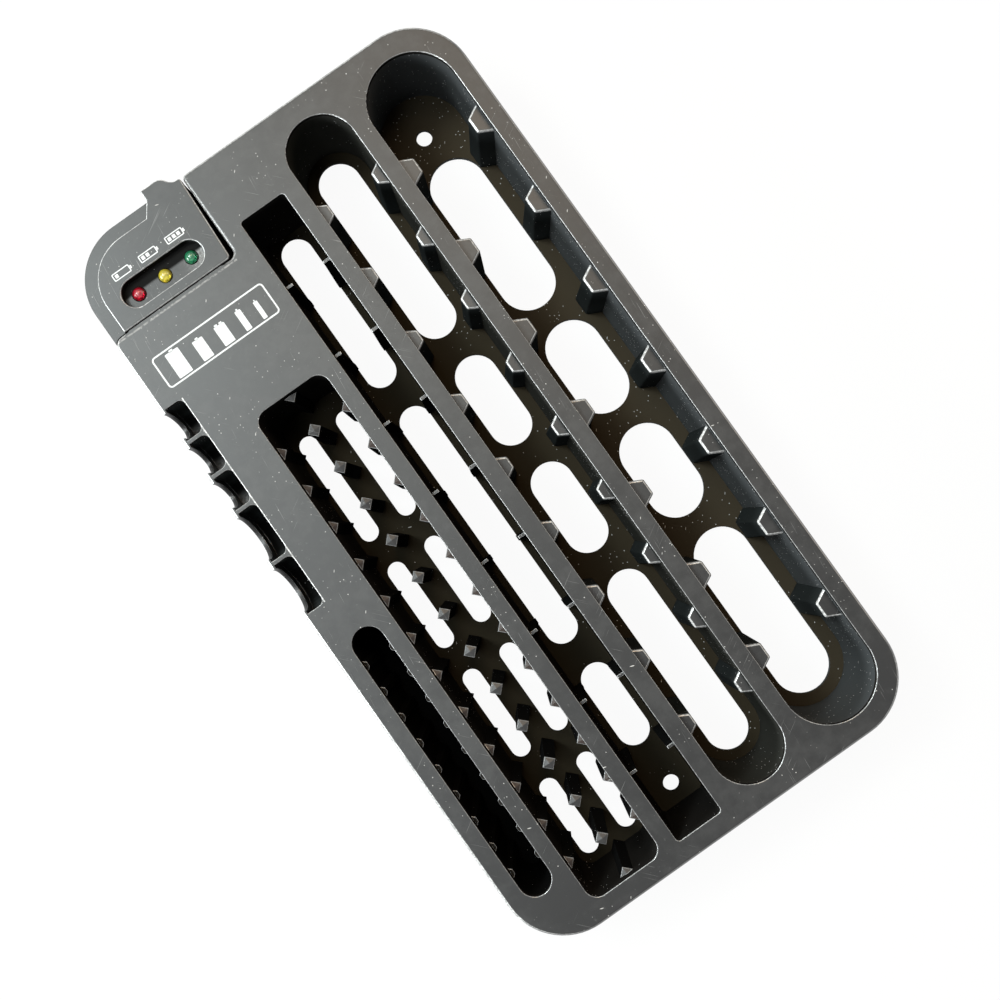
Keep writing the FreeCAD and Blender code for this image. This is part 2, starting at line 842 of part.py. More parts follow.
def stiffening_webs():
    """Cross webs under the deck that tie the row walls and the skirt together."""
    inside = prism(rounded_wire(case_outline(), 0).makeOffset2D(-wall), deck_underside)
    low = deck_underside - web_height
    bars = []
    for y in spread(web_row_count, web_row_pitch, 0):
        bars.append(box(-side, side, y - web_thickness / 2, y + web_thickness / 2, low, deck_underside))
    taken = [space(wall, 0, deck_underside + through) for space in row_spaces]
    spans = coin_pockets()
    taken.append(box(-side - through, coin_inner_face + wall, spans[-1][0] - wall, spans[0][1] + wall,
                     0, case_height))
    taken.append(block(bay_outline(wall), 0, case_height))
    webs = Part.makeCompound(bars).common(inside).cut(taken)
    return Part.makeCompound(webs.Solids)


# ================================================================ tester housing
def tester_outline():
    return [(tester_left, tester_low, 0), (tester_right, tester_low, tester_corner_radius),
            (tester_right, tester_high, tester_corner_radius), (tester_left, tester_high, tester_arc)]


def lip_filler(z_low, z_high):
    """Horn on the tester's corner that follows the rounded lip of the bay."""
    centre_x = -side + bay_lip_radius
    centre_y = bay_wall_y - bay_lip_radius
    corner = box(tester_left, centre_x, centre_y, tester_low, z_low, z_high)
    round_lip = Part.makeCylinder(bay_lip_radius + tester_seam_gap, z_high - z_low,
                                  Vector(centre_x, centre_y, z_low))
    return corner.cut(round_lip)


def corner_rib(z_low, z_high):
    """Upright rib near the tester's far corner that closes the end of the gap beside it."""
    right = tester_right + tester_flare - corner_rib_inset
    high = tester_high - tester_corner_radius
    return box(tester_right - tester_wall / 2, right, high - corner_rib_length, high, z_low, z_high)


def raised_wire(z):
    """Outline of the raised face and its tab, inside the lower shoulder and flared at the far corner."""
    left = tester_left + shoulder_width
    shelf = tester_high - shoulder_width
    tab_left = tester_left + tab_left_edge
    tab_right = tab_left + tab_flat_width
    foot = tab_right + tab_slope_width
    tip = tester_high + tab_reach
    around = [(foot, tester_high, 0), (tab_left, tester_high, 0), (tab_left - tab_lead_in, shelf, 0),
              (left, shelf, tester_arc - shoulder_width), (left, tester_low, 0),
              (tester_right, tester_low, tester_corner_radius),
              (tester_right + tester_flare, tester_high, flare_corner_radius)]
    edges = [edge for edge in rounded_wire(around, z).Edges if not on_tab_root(edge, tab_left, foot)]
    root = Vector(foot, tester_high, z)
    crest = Vector(tab_right, tip, z)
    middle = (crest + root) * 0.5
    swell = Vector(1, 1, 0) * tab_swell
    edges.append(Part.Arc(root, (root + middle) * 0.5 - swell, middle).toShape())
    edges.append(Part.Arc(middle, (middle + crest) * 0.5 + swell, crest).toShape())
    edges.append(Part.LineSegment(crest, Vector(tab_left, tip, z)).toShape())
    edges.append(Part.LineSegment(Vector(tab_left, tip, z), Vector(tab_left, tester_high, z)).toShape())
    return Part.Wire(Part.__sortEdges__(edges))


def on_tab_root(edge, low, high):
    bounds = edge.BoundBox
    flat = abs(bounds.YMin - tester_high) < nearly and abs(bounds.YMax - tester_high) < nearly
    return flat and bounds.XMin > low - nearly and bounds.XMax < high + nearly


def boss_places():
    inner_x = jaw_face - boss_gap - boss_diameter / 2
    return [(tester_left + boss_corner_inset, tester_high - boss_corner_inset),
            (inner_x, tester_high - cradle_back_wall - boss_gap - boss_diameter / 2),
            (inner_x, tester_low + tester_wall + boss_gap + boss_diameter / 2)]


def tester_cover():
    shell = block(tester_outline(), cover_foot, shoulder_level)
    raised_foot = tester_face - tab_thickness
    shell = shell.fuse([lip_filler(cover_foot, shoulder_level), corner_rib(cover_foot, raised_foot)])
    raised = prism(raised_wire(raised_foot), tab_thickness)
    solid = shell.fuse(raised).removeSplitter()
    solid = solid.makeFillet(shoulder_edge_radius, top_edges(solid, tester_face))
    inner_outline = rounded_wire(tester_outline(), cover_foot).makeOffset2D(-tester_wall)
    hollow = prism(inner_outline, cover_ceiling - cover_foot)
    solid = solid.cut(hollow)
    window = stadium_lying(window_left, window_right, window_low, window_high)
    pocket = stadium_lying(window_left - window_rim, window_right + window_rim,
                           window_low - window_rim, window_high + window_rim)
    solid = solid.fuse(block(pocket, window_bottom - window_floor, cover_ceiling + through / 2))
    opening = block(window, window_bottom, tester_face + through)
    boss_height = cover_ceiling - cover_foot + through / 2
    bosses = [Part.makeCylinder(boss_diameter / 2, boss_height, Vector(x, y, cover_foot))
              for x, y in boss_places()]
    solid = solid.multiFuse(bosses).cut(opening)
    solid = solid.makeFillet(window_edge_radius, window_mouth(solid))
    holes = []
    for x in lamp_places:
        holes.append(Part.makeCylinder(led_diameter / 2 + led_hole_clearance, window_floor + 2 * through,
                                       Vector(x, lamp_y, window_bottom - window_floor - through)))
    for x, y in boss_places():
        foot = Vector(x, y, cover_foot - through)
        holes.append(Part.makeCylinder(screw_shank_diameter / 2, screw_length, foot))
    holes.append(box(tester_left - through, slider_jaw_face + running_gap, slider_low - running_gap,
                     slider_high + running_gap, cover_foot - through, slider_top + running_gap))
    return solid.cut(holes).removeSplitter()


def stadium_lying(x_low, x_high, y_low, y_high):
    return rectangle(x_low, x_high, y_low, y_high, (y_high - y_low) / 2)


def window_mouth(solid):
    found = []
    for edge in top_edges(solid, tester_face):
        bounds = edge.BoundBox
        inside_x = bounds.XMin > window_left - nearly and bounds.XMax < window_right + nearly
        inside_y = bounds.YMin > window_low - nearly and bounds.YMax < window_high + nearly
        if inside_x and inside_y:
            found.append(edge)
    return found


def tester_cradle():
    """Bottom cover with the fixed jaw and back wall that a cell is laid between for testing."""
    plate = block(tester_outline(), plate_foot, cover_foot)
    plate = plate.fuse([lip_filler(plate_foot, cover_foot), corner_rib(bay_floor, cover_foot)])
    jaw = block([(jaw_face, tester_low, 0), (tester_right, tester_low, tester_corner_radius),
                 (tester_right, tester_high, tester_corner_radius), (jaw_face, tester_high, 0)],
                bay_floor, plate_foot)
    back = box(tester_left + tester_arc, jaw_face, tester_high - cradle_back_wall, tester_high,
               bay_floor, plate_foot)
    stop = box(spring_stop_left, spring_stop_face, slider_high + running_gap,
               spring_y + spring_diameter / 2 + spring_wire, cover_foot, slider_top)
    rail = box(slider_jaw_face + running_gap, slider_inner_end, tester_low + tester_wall + running_gap,
               slider_bar_low - running_gap, cover_foot, spring_z)
    posts = [Part.makeCylinder(board_post_diameter / 2, board_foot - cover_foot, Vector(x, y, cover_foot))
             for x, y in board_post_places()]
    solid = plate.multiFuse([jaw, back, stop, rail] + posts)
    below = plate_foot - through
    plate_cut = cradle_plate_thickness + 2 * through
    cuts = [box(tester_left - through, slider_jaw_face + strip_thickness + running_gap,
                slider_low - running_gap, slider_high + running_gap, below, cover_foot + through)]
    for x, y in boss_places():
        cuts.append(Part.makeCylinder(screw_shank_diameter / 2 + screw_hole_clearance, plate_cut,
                                      Vector(x, y, below)))
        cuts.append(Part.makeCylinder(screw_head_diameter / 2 + screw_hole_clearance,
                                      screw_head_height + through, Vector(x, y, below)))
    for x in nine_volt_stud_places():
        cuts.append(Part.makeCylinder(nine_volt_stem_diameter / 2, plate_cut,
                                      Vector(x, nine_volt_stud_y(), below)))
    half_slot = strip_width / 2 + slot_clearance
    cuts.append(box(jaw_face - strip_thickness - slot_clearance, jaw_face,
                    slider_middle - half_slot, slider_middle + half_slot, below, cover_foot + through))
    return solid.cut(cuts).removeSplitter()


def board_post_places():
    high = board_high - board_post_inset
    right = board_right - board_post_inset
    return [(right, high), (lamp_x - led_pitch, high), (lamp_x + led_pitch, slider_middle)]


def nine_volt_stud_places():
    return spread(2, nine_volt_stud_spacing, lamp_x)


def nine_volt_stud_y():
    return board_high - board_post_inset


# ================================================================ electronics
def circuit_board():
    board = box(board_left, board_right, board_low, board_high, board_foot, board_top)
    clear = [Part.makeCylinder(boss_diameter / 2 + running_gap, board_thickness + 2 * through,
                               Vector(x, y, board_foot - through)) for x, y in boss_places()]
    return board.cut(clear)


def led(x):
    radius = led_diameter / 2
    flange = Part.makeCylinder(led_flange_diameter / 2, led_flange_height, Vector(x, lamp_y, board_top))
    dome_centre = tester_face - led_top_below_face - radius
    body = Part.makeCylinder(radius, dome_centre - board_top, Vector(x, lamp_y, board_top))
    dome = Part.makeSphere(radius, Vector(x, lamp_y, dome_centre))
    return flange.multiFuse([body, dome]).removeSplitter()


def led_driver_chip():
    x = lamp_x - led_pitch / 2
    y = board_high - board_post_inset - chip_width / 2
    return box(x - chip_length / 2, x + chip_length / 2, y - chip_width / 2, y + chip_width / 2,
               board_top, board_top + chip_height)


def board_resistors():
    chips = []
    y = lamp_y + resistor_from_leds
    for x in lamp_places:
        chips.append(box(x - resistor_length / 2, x + resistor_length / 2, y - resistor_width / 2,
                         y + resistor_width / 2, board_top, board_top + resistor_height))
    return Part.makeCompound(chips)


# ================================================================ contacts
def bowed_leaf(face_x, toward, z_low, z_high, y_low, y_high):
    """Contact leaf lying on a jaw's face and bowed off it; toward is +1 or -1 along X."""
    y = y_low
    outer = face_x + toward * strip_thickness
    crest = face_x + toward * strip_bow
    middle = (z_low + z_high) / 2
    front = Part.Arc(Vector(outer, y, z_low), Vector(crest, y, middle), Vector(outer, y, z_high))
    rear = Part.Arc(Vector(face_x, y, z_high), Vector(crest - toward * strip_thickness, y, middle),
                    Vector(face_x, y, z_low))
    top = Part.LineSegment(Vector(outer, y, z_high), Vector(face_x, y, z_high))
    foot = Part.LineSegment(Vector(face_x, y, z_low), Vector(outer, y, z_low))
    section = Part.Face(Part.Wire([front.toShape(), top.toShape(), rear.toShape(), foot.toShape()]))
    return section.extrude(Vector(0, y_high - y_low, 0))


def leaf_span():
    margin = strip_bow
    return bay_floor + margin, plate_foot - margin


def fixed_contact():
    low, high = leaf_span()
    y_low = slider_middle - strip_width / 2
    y_high = slider_middle + strip_width / 2
    leaf = bowed_leaf(jaw_face, -1, low, high, y_low, y_high)
    riser = box(jaw_face - strip_thickness, jaw_face, y_low, y_high, high, cover_foot)
    tail_low = y_high - strip_tail_width
    tail = box(jaw_face - strip_thickness, jaw_face, tail_low, y_high, cover_foot, board_top)
    tab = box(board_right - board_pad_length, jaw_face, tail_low, y_high,
              board_top, board_top + strip_thickness)
    return leaf.multiFuse([riser, tail, tab]).removeSplitter()


def slider_contact():
    low, high = leaf_span()
    y_low = slider_middle - strip_width / 2
    y_high = slider_middle + strip_width / 2
    leaf = bowed_leaf(slider_jaw_face, 1, low, high, y_low, y_high)
    inner = slider_jaw_face + strip_thickness
    riser = box(slider_jaw_face, inner, y_low, slider_high, high, plate_foot + through)
    corner = box(slider_jaw_face, inner, slider_bar_high, slider_high, high, spring_z)
    run = box(slider_jaw_face, slider_arm_face, slider_bar_high, slider_bar_high + strip_thickness,
              slider_foot + running_gap, spring_z)
    seat = box(spring_finish, slider_arm_face, slider_bar_high, spring_y + spring_diameter / 2,
               slider_foot + running_gap, spring_z + spring_diameter / 2)
    return leaf.multiFuse([riser, corner, run, seat]).removeSplitter()


def spring_terminal():
    low = spring_y - spring_diameter / 2
    high = spring_y + spring_diameter / 2
    riser = box(spring_stop_face, spring_start, low, high, cover_foot, board_top + strip_thickness)
    tab = box(spring_stop_face, board_left + board_pad_length, low, low + strip_tail_width,
              board_top, board_top + strip_thickness)
    return riser.fuse(tab).removeSplitter()


def nine_volt_contacts():
    studs = []
    for x in nine_volt_stud_places():
        y = nine_volt_stud_y()
        head = Part.makeCylinder(nine_volt_stud_diameter / 2, nine_volt_stud_height,
                                 Vector(x, y, plate_foot - nine_volt_stud_height))
        rim = top_edges(head, plate_foot - nine_volt_stud_height)
        head = head.makeFillet(nine_volt_stud_height / 2, rim)
        stem = Part.makeCylinder(nine_volt_stem_diameter / 2, board_foot - plate_foot,
                                 Vector(x, y, plate_foot))
        studs.append(head.fuse(stem).removeSplitter())
    return Part.makeCompound(studs)


# ================================================================ slider and its spring
def contact_slider():
    """Sprung jaw on a bar that runs inside the tester and stretches to the cell's length."""
    jaw = box(tester_left, slider_jaw_face, slider_low, slider_high, bay_floor + slider_jaw_lift, slider_top)
    bar = box(slider_jaw_face, slider_inner_end, slider_bar_low, slider_bar_high, slider_foot, slider_top)
    arm = box(slider_arm_face, slider_inner_end, slider_bar_high, slider_bar_high + slider_arm_reach,
              slider_foot, slider_top)
    ridges = []
    for z in spread(grip_ridge_count, grip_ridge_pitch, (bay_floor + plate_foot) / 2):
        ridges.append(box(tester_left - grip_ridge_height, tester_left, slider_low + 2 * grip_ridge_thickness,
                          slider_high - 2 * grip_ridge_thickness, z - grip_ridge_thickness / 2,
                          z + grip_ridge_thickness / 2))
    return jaw.multiFuse([bar, arm] + ridges).removeSplitter()


def return_spring():
    """Compression coil between the stop and the slider's arm, drawn at its rest length."""
    length = spring_finish - spring_start
    coil_height = length - spring_wire
    pitch = coil_height / spring_turns
    radius = (spring_diameter - spring_wire) / 2
    helix = Part.makeHelix(pitch, coil_height, radius)
    wire_circle = Part.Wire([Part.Circle(Vector(radius, 0, 0), Vector(0, 1, 0), spring_wire / 2).toShape()])
    coil = Part.Wire(helix.Edges).makePipeShell([wire_circle], True, True)
    coil.rotate(Vector(0, 0, 0), Vector(0, 1, 0), 90)
    coil.translate(Vector(spring_start + spring_wire / 2, spring_y, spring_z))
    return coil


def cover_screws():
    screws = []
    for x, y in boss_places():
        head = Part.makeCylinder(screw_head_diameter / 2, screw_head_height, Vector(x, y, plate_foot))
        shank = Part.makeCylinder(screw_shank_diameter / 2, screw_length - screw_head_height,
                                  Vector(x, y, plate_foot + screw_head_height))
        half = screw_drive_width / 2
        deep = plate_foot + screw_drive_depth
        below = plate_foot - through
        cross = [box(x - screw_drive_reach, x + screw_drive_reach, y - half, y + half, below, deep),
                 box(x - half, x + half, y - screw_drive_reach, y + screw_drive_reach, below, deep)]
        screws.append(head.fuse(shank).cut(cross).removeSplitter())
    return Part.makeCompound(screws)


# ================================================================ build
def save(shape, name):
    shape.exportStep("parts/" + name + ".step")
    print(name, len(shape.Solids), "solid(s)", round(shape.Volume / 1000, 3), "cm3", shape.isValid())


def build():
    os.makedirs("parts", exist_ok=True)
    for maker in (case_deck, case_skirt, d_cell_channel, d_cell_ribs, c_cell_channel, c_cell_ribs,
                  nine_volt_channel, nine_volt_ribs, aa_cell_channel, aa_cell_posts, aaa_cell_channel,
                  aaa_cell_ribs, coin_cell_pockets, tester_bay, stiffening_webs, tester_cover, tester_cradle,
                  circuit_board, led_driver_chip, board_resistors, fixed_contact, slider_contact,
                  spring_terminal, nine_volt_contacts, contact_slider, return_spring, cover_screws):
        save(maker(), maker.__name__)
    for name, x in zip(("red_led", "yellow_led", "green_led"), lamp_places):
        save(led(x), name)


build()
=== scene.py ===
# %% [markdown]
# # A battery storage case, dressed
#
# The case is an open black tray. D, C, 9 V, AA and AAA cells stand upright in its rows, coin cells
# lie in pockets on one long side, and a small battery tester lifts out of one corner. Its shapes come
# ready made from the CAD model. This lesson gives them their moulded-plastic surface, adds the small
# pieces that the solids leave out, and lights the whole on a pale floor.

# %% Load the frame
import math
from collections import namedtuple

import bmesh
import bpy
from mathutils import Euler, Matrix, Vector


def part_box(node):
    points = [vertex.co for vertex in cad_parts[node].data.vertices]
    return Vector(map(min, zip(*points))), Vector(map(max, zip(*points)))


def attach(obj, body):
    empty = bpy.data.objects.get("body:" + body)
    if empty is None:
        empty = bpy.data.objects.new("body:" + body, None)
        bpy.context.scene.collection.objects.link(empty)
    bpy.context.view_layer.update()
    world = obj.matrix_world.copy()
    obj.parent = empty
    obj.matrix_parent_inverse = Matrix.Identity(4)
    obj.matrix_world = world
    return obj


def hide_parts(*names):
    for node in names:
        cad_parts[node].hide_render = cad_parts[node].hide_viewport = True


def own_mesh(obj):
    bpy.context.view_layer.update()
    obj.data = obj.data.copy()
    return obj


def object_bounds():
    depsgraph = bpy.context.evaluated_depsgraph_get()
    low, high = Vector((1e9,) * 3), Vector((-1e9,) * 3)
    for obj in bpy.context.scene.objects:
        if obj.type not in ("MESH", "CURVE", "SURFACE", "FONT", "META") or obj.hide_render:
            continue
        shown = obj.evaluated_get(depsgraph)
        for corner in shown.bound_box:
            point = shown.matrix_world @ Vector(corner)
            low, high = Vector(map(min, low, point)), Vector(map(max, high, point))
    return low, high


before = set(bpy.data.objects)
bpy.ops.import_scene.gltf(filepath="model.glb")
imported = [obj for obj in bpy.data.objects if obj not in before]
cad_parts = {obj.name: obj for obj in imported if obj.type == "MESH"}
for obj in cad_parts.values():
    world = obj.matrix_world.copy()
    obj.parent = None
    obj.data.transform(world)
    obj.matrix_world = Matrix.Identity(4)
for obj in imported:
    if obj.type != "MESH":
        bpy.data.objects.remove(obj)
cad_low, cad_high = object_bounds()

mm = 0.001
print("box in mm:", [round(v / mm, 1) for v in (*cad_low, *cad_high)])

# %% [markdown]
# ## Writing materials as sums
#
# A moulded surface is a pile of small effects: grain, dust, scratches, polished edges. In the node
# editor each is a handful of boxes and wires. In Python the same thing reads better as arithmetic, so
# one small class wraps a socket and turns `1 - mask` or `grain * 0.3 + flow` into Math nodes. A second
# class holds one material's nodes and makes every other kind of node through one method.


# %% A socket that can be added, scaled and compared
class Signal:
    """A node's output. Arithmetic on it adds Math nodes to the same material."""

    def __init__(self, recipe, socket):
        self.recipe = recipe
        self.socket = socket

    def _math(self, operation, first, second):
        return self.recipe.add("ShaderNodeMath", {"operation": operation}, {0: first, 1: second})

    def __add__(self, other):
        return self._math("ADD", self, other)

    def __radd__(self, other):
        return self._math("ADD", other, self)

    def __sub__(self, other):
        return self._math("SUBTRACT", self, other)

    def __rsub__(self, other):
        return self._math("SUBTRACT", other, self)

    def __mul__(self, other):
        return self._math("MULTIPLY", self, other)

    def __rmul__(self, other):
        return self._math("MULTIPLY", other, self)

    def __gt__(self, other):
        return self._math("GREATER_THAN", self, other)

    def __lt__(self, other):
        return self._math("LESS_THAN", self, other)


print("Signal understands + - * < >")


# %% A material's recipe
class Recipe:
    """One material's or world's nodes."""

    def __init__(self, owner):
        self.owner = owner
        owner.use_nodes = True
        self.tree = owner.node_tree
        self.tree.nodes.clear()

    def add(self, kind, settings=None, sockets=None, out=0):
        """Makes a node: its settings first, then the values or links of its sockets. Gives one output."""
        node = self.tree.nodes.new(kind)
        for name, value in (settings or {}).items():
            if name == "stops":
                ramp = node.color_ramp.elements
                while len(ramp) < len(value):
                    ramp.new(1.0)
                for element, (place, colour) in zip(ramp, value):
                    element.position = place
                    element.color = colour
            else:
                setattr(node, name, value)
        for name, value in (sockets or {}).items():
            if isinstance(value, Signal):
                self.tree.links.new(value.socket, node.inputs[name])
            else:
                node.inputs[name].default_value = value
        return Signal(self, node.outputs[out])

    def place(self, stretch=(1, 1, 1), turn=0.0):
        """Where a point is in millimetres, on axes turned by degrees about Z and stretched."""
        sockets = {"Vector": self.add("ShaderNodeTexCoord", out="Object"),
                   "Rotation": (0, 0, math.radians(turn)), "Scale": [s * mm for s in stretch]}
        return self.add("ShaderNodeMapping", {"vector_type": "TEXTURE"}, sockets)

    def noise(self, size, detail=2.0, rough=0.5, stretch=(1, 1, 1), turn=0.0):
        """Cloudy noise from 0 to 1 whose blobs are about size millimetres across."""
        sockets = {"Vector": self.place(stretch, turn), "Scale": 1 / size,
                   "Detail": detail, "Roughness": rough}
        return self.add("ShaderNodeTexNoise", {}, sockets)

    def ramp(self, value, low, high, start=0.0, finish=1.0):
        """Goes smoothly from start to finish while value goes from low to high."""
        settings = {"interpolation_type": "SMOOTHSTEP"}
        sockets = {0: value, 1: low, 2: high, 3: start, 4: finish}
        return self.add("ShaderNodeMapRange", settings, sockets)

    def blend(self, factor, first, second):
        """Colour that goes from first to second."""
        return self.add("ShaderNodeMix", {"data_type": "RGBA"}, {0: factor, 6: first, 7: second}, out=2)

    def relief(self, height, step, soft_edge=0.0):
        """The normal, with bumps step high and hard edges softened over soft_edge, both in mm."""
        sockets = {"Height": height, "Distance": step * mm}
        if soft_edge:
            sockets["Normal"] = self.add("ShaderNodeBevel", {"samples": 4}, {"Radius": soft_edge * mm})
        return self.add("ShaderNodeBump", {}, sockets)

    def skin(self, varying, fixed, normal=None):
        """A Principled shader."""
        sockets = {**varying, **fixed}
        if normal is not None:
            sockets["Normal"] = normal
        return self.add("ShaderNodeBsdfPrincipled", {}, sockets)

    def matt(self, colour, normal=None):
        """A Principled shader that mirrors nothing."""
        return self.skin({"Base Color": colour}, {"Roughness": 1.0, "Specular IOR Level": 0.0}, normal)

    def close(self, shader):
        """Gives the shader to the output."""
        kind = "World" if isinstance(self.owner, bpy.types.World) else "Material"
        output = self.tree.nodes.new("ShaderNodeOutput" + kind)
        self.tree.links.new(shader.socket, output.inputs["Surface"])
        print(kind.lower(), self.owner.name, "with", len(self.tree.nodes), "nodes")
        return self.owner


def new_recipe(name):
    return Recipe(bpy.data.materials.new(name))


def grey(value, warm=0.0):
    """Opaque grey, a little warmer if warm is above 0."""
    return (value * (1 + warm), value, value * (1 - warm), 1)


print("recipes can be written")

# %% [markdown]
# ## The camera
#
# The case lies on its back and is seen from almost straight above, turned about a third of a right
# angle, from less than half a metre away. So near a camera looks down the far walls of the rows. It
# could be aimed at a target object, but typed angles also hold the slight tilt to one side.

# %% Camera
scene = bpy.context.scene
camera_data = bpy.data.cameras.new("camera")
camera_data.lens = 41.7298
camera_data.sensor_width = 36.0
camera_data.clip_start = 0.01
camera = bpy.data.objects.new("camera", camera_data)
camera.location = (-0.00192626, -0.02372365, 0.45613664)
camera.rotation_euler = Euler([math.radians(a) for a in (1.64628963, 1.02771625, -35.34630508)])
scene.collection.objects.link(camera)
scene.camera = camera
scene.view_settings.view_transform = "Standard"
print("camera at", [round(c / mm) for c in camera.location], "mm")

# %% [markdown]
# ## The floor and the room
#
# Black plastic is mostly what it mirrors, so the room matters more than the paint. A white room could
# be built from bright walls, but their light would also fill the rows. So the floor, a wide pale disc,
# and the world behind it are near white only to what looks at them: the camera, a reflection or a lens.
# To everything else the world is a dim even grey, and the insides of the rows stay dark. The case still
# shades the floor a little. From underneath the disc is clear, so that the hollow side can be seen.


# %% Pale floor and white surroundings
def seen_directly(recipe):
    """1 for rays that come from the camera, a reflection or a lens, and 0 for light that fills in."""
    def kind(name):
        return recipe.add("ShaderNodeLightPath", out=name)
    together = kind("Is Camera Ray") + kind("Is Glossy Ray") + kind("Is Transmission Ray")
    return recipe.add("ShaderNodeClamp", {}, {"Value": together})


def floor_material():
    recipe = new_recipe("pale_floor")
    place = recipe.place()
    from_middle = recipe.add("ShaderNodeVectorMath", {"operation": "LENGTH"}, {0: place}, out="Value")
    brushed = recipe.noise(45, 3)
    paint = recipe.blend(brushed, grey(0.74), grey(0.78))
    plain = recipe.matt(paint)
    fill = recipe.add("ShaderNodeEmission", {}, {"Color": grey(1), "Strength": 0.16})
    lit = recipe.add("ShaderNodeAddShader", {}, {0: plain, 1: fill})
    white = recipe.add("ShaderNodeEmission", {}, {"Color": grey(1), "Strength": 1.0})
    share = seen_directly(recipe) * recipe.ramp(from_middle, 200, 700, 0.93, 1.0)
    shown = recipe.add("ShaderNodeMixShader", {}, {0: share, 1: lit, 2: white})
    clear = recipe.add("ShaderNodeBsdfTransparent", {}, {"Color": grey(1)})
    below = recipe.add("ShaderNodeNewGeometry", out="Backfacing")
    return recipe.close(recipe.add("ShaderNodeMixShader", {}, {0: below, 1: shown, 2: clear}))


def make_floor(radius=4.0, rings=12, spokes=96):
    mesh = bmesh.new()
    rim = []
    middle = mesh.verts.new((0, 0, 0))
    for ring in range(1, rings + 1):
        reach = radius * (ring / rings) ** 2
        row = []
        for spoke in range(spokes):
            angle = 2 * math.pi * spoke / spokes
            row.append(mesh.verts.new((reach * math.cos(angle), reach * math.sin(angle), 0)))
        for spoke in range(spokes):
            following = (spoke + 1) % spokes
            if rim:
                mesh.faces.new((rim[spoke], row[spoke], row[following], rim[following]))
            else:
                mesh.faces.new((middle, row[spoke], row[following]))
        rim = row
    data = bpy.data.meshes.new("floor")
    mesh.to_mesh(data)
    mesh.free()
    floor = bpy.data.objects.new("floor", data)
    floor.location.z = cad_low.z - 0.02 * mm
    data.materials.append(floor_material())
    scene.collection.objects.link(floor)
    print("floor", round(2 * radius, 1), "m across")


make_floor()

# %% World
room_level = 0.07

room = Recipe(bpy.data.worlds.new("room"))
dim = room.add("ShaderNodeBackground", {}, {"Color": grey(1), "Strength": room_level})
bright = room.add("ShaderNodeBackground", {}, {"Color": grey(1), "Strength": 1.0})
scene.world = room.close(room.add("ShaderNodeMixShader", {}, {0: seen_directly(room), 1: dim, 2: bright}))

# %% [markdown]
# ## Lamps
#
# Six rectangular lamps stand round the case. They could be round or bare bulbs, but a satin deck shows
# a lamp's shape as a patch of sheen, and a rectangle gives a patch with soft straight sides. The wide
# one hangs where the deck mirrors it to the camera, which gives the far end its broad sheen. The small
# strong one beyond it brightens the tester's corner and draws the thin lines on rounded edges. Two weak
# ones overhead tint the deck, cool on one side and warm on the other, and two low ones do the same for
# the upright faces. Together they give a plain level, at which a colour renders about as it is written.


# %% Softboxes
def softbox(name, middle, target, width, height, watts, colour):
    """A rectangular lamp that faces a target. Lengths are in metres."""
    data = bpy.data.lights.new(name, "AREA")
    data.shape = "RECTANGLE"
    data.size = width
    data.size_y = height
    data.energy = watts
    data.color = colour
    lamp = bpy.data.objects.new(name, data)
    lamp.location = middle
    toward = Vector(target) - Vector(middle)
    lamp.rotation_euler = toward.to_track_quat("-Z", "Y").to_euler()
    scene.collection.objects.link(lamp)
    print("lamp", name, watts, "W at", [round(v, 2) for v in middle])


half_height = (0, 0, 0.02)
deck_height = (0, 0, 0.04)
daylight = (0.92, 0.98, 1.0)
softbox("wide_overhead", (-0.25, 0.43, 1.15), half_height, 0.84, 0.80, 7.4, (0.90, 1.0, 1.0))
softbox("small_bright", (-0.49, 0.63, 1.15), half_height, 0.34, 0.34, 10.6, (0.91, 1.0, 1.0))
softbox("cool_overhead", (-0.44, -0.06, 1.12), half_height, 0.44, 0.34, 1.9, daylight)
softbox("warm_overhead", (0.34, 0.50, 1.12), half_height, 0.34, 0.70, 3.4, (1.0, 0.68, 0.38))
softbox("cool_low_left", (-1.10, 0.25, 0.42), deck_height, 0.80, 0.40, 13.0, daylight)
softbox("warm_low_right", (0.95, 0.05, 0.50), deck_height, 0.90, 0.40, 1.8, (1.0, 0.84, 0.66))

# %% [markdown]
# ## Black moulded plastic
#
# The case is black polystyrene with a satin skin. It could be one flat dark colour, but then it would
# look like a drawing: a real moulding has a fine spark-eroded grain, a slow unevenness in its gloss,
# hairline scratches and pale specks of dust, and its rounded edges are rubbed smoother than its flats.
# Each of these is a mask, a number from 0 to 1 over the surface. Most masks are worked out from where
# a point lies and which way the surface faces there, so nothing is painted by hand.


# %% Where a point lies and which way it faces
def along(recipe, axis):
    """The place along X, Y or Z in millimetres."""
    return recipe.add("ShaderNodeSeparateXYZ", {}, {0: recipe.place()}, out=axis)


def away_from(recipe, axis, value):
    """The distance in millimetres from a value on an axis, whichever side it is on."""
    return recipe.add("ShaderNodeMath", {"operation": "ABSOLUTE"}, {0: along(recipe, axis) - value})


def facing(recipe, axis):
    """How far the surface faces along X, Y or Z, from -1 to 1: along Z, 1 is level and 0 upright."""
    normal = recipe.add("ShaderNodeNewGeometry", out="Normal")
    return recipe.add("ShaderNodeSeparateXYZ", {}, {0: normal}, out=axis)


def larger(recipe, first, second):
    return recipe.add("ShaderNodeMath", {"operation": "MAXIMUM"}, {0: first, 1: second})


Corner = namedtuple("Corner", "x y z")


def box_in_mm(name):
    """A node's lowest and highest corner in millimetres."""
    return tuple(Corner(*(value / mm for value in corner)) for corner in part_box(name))


print("the deck's top is at", round(box_in_mm("case_deck")[1].z, 2), "mm")

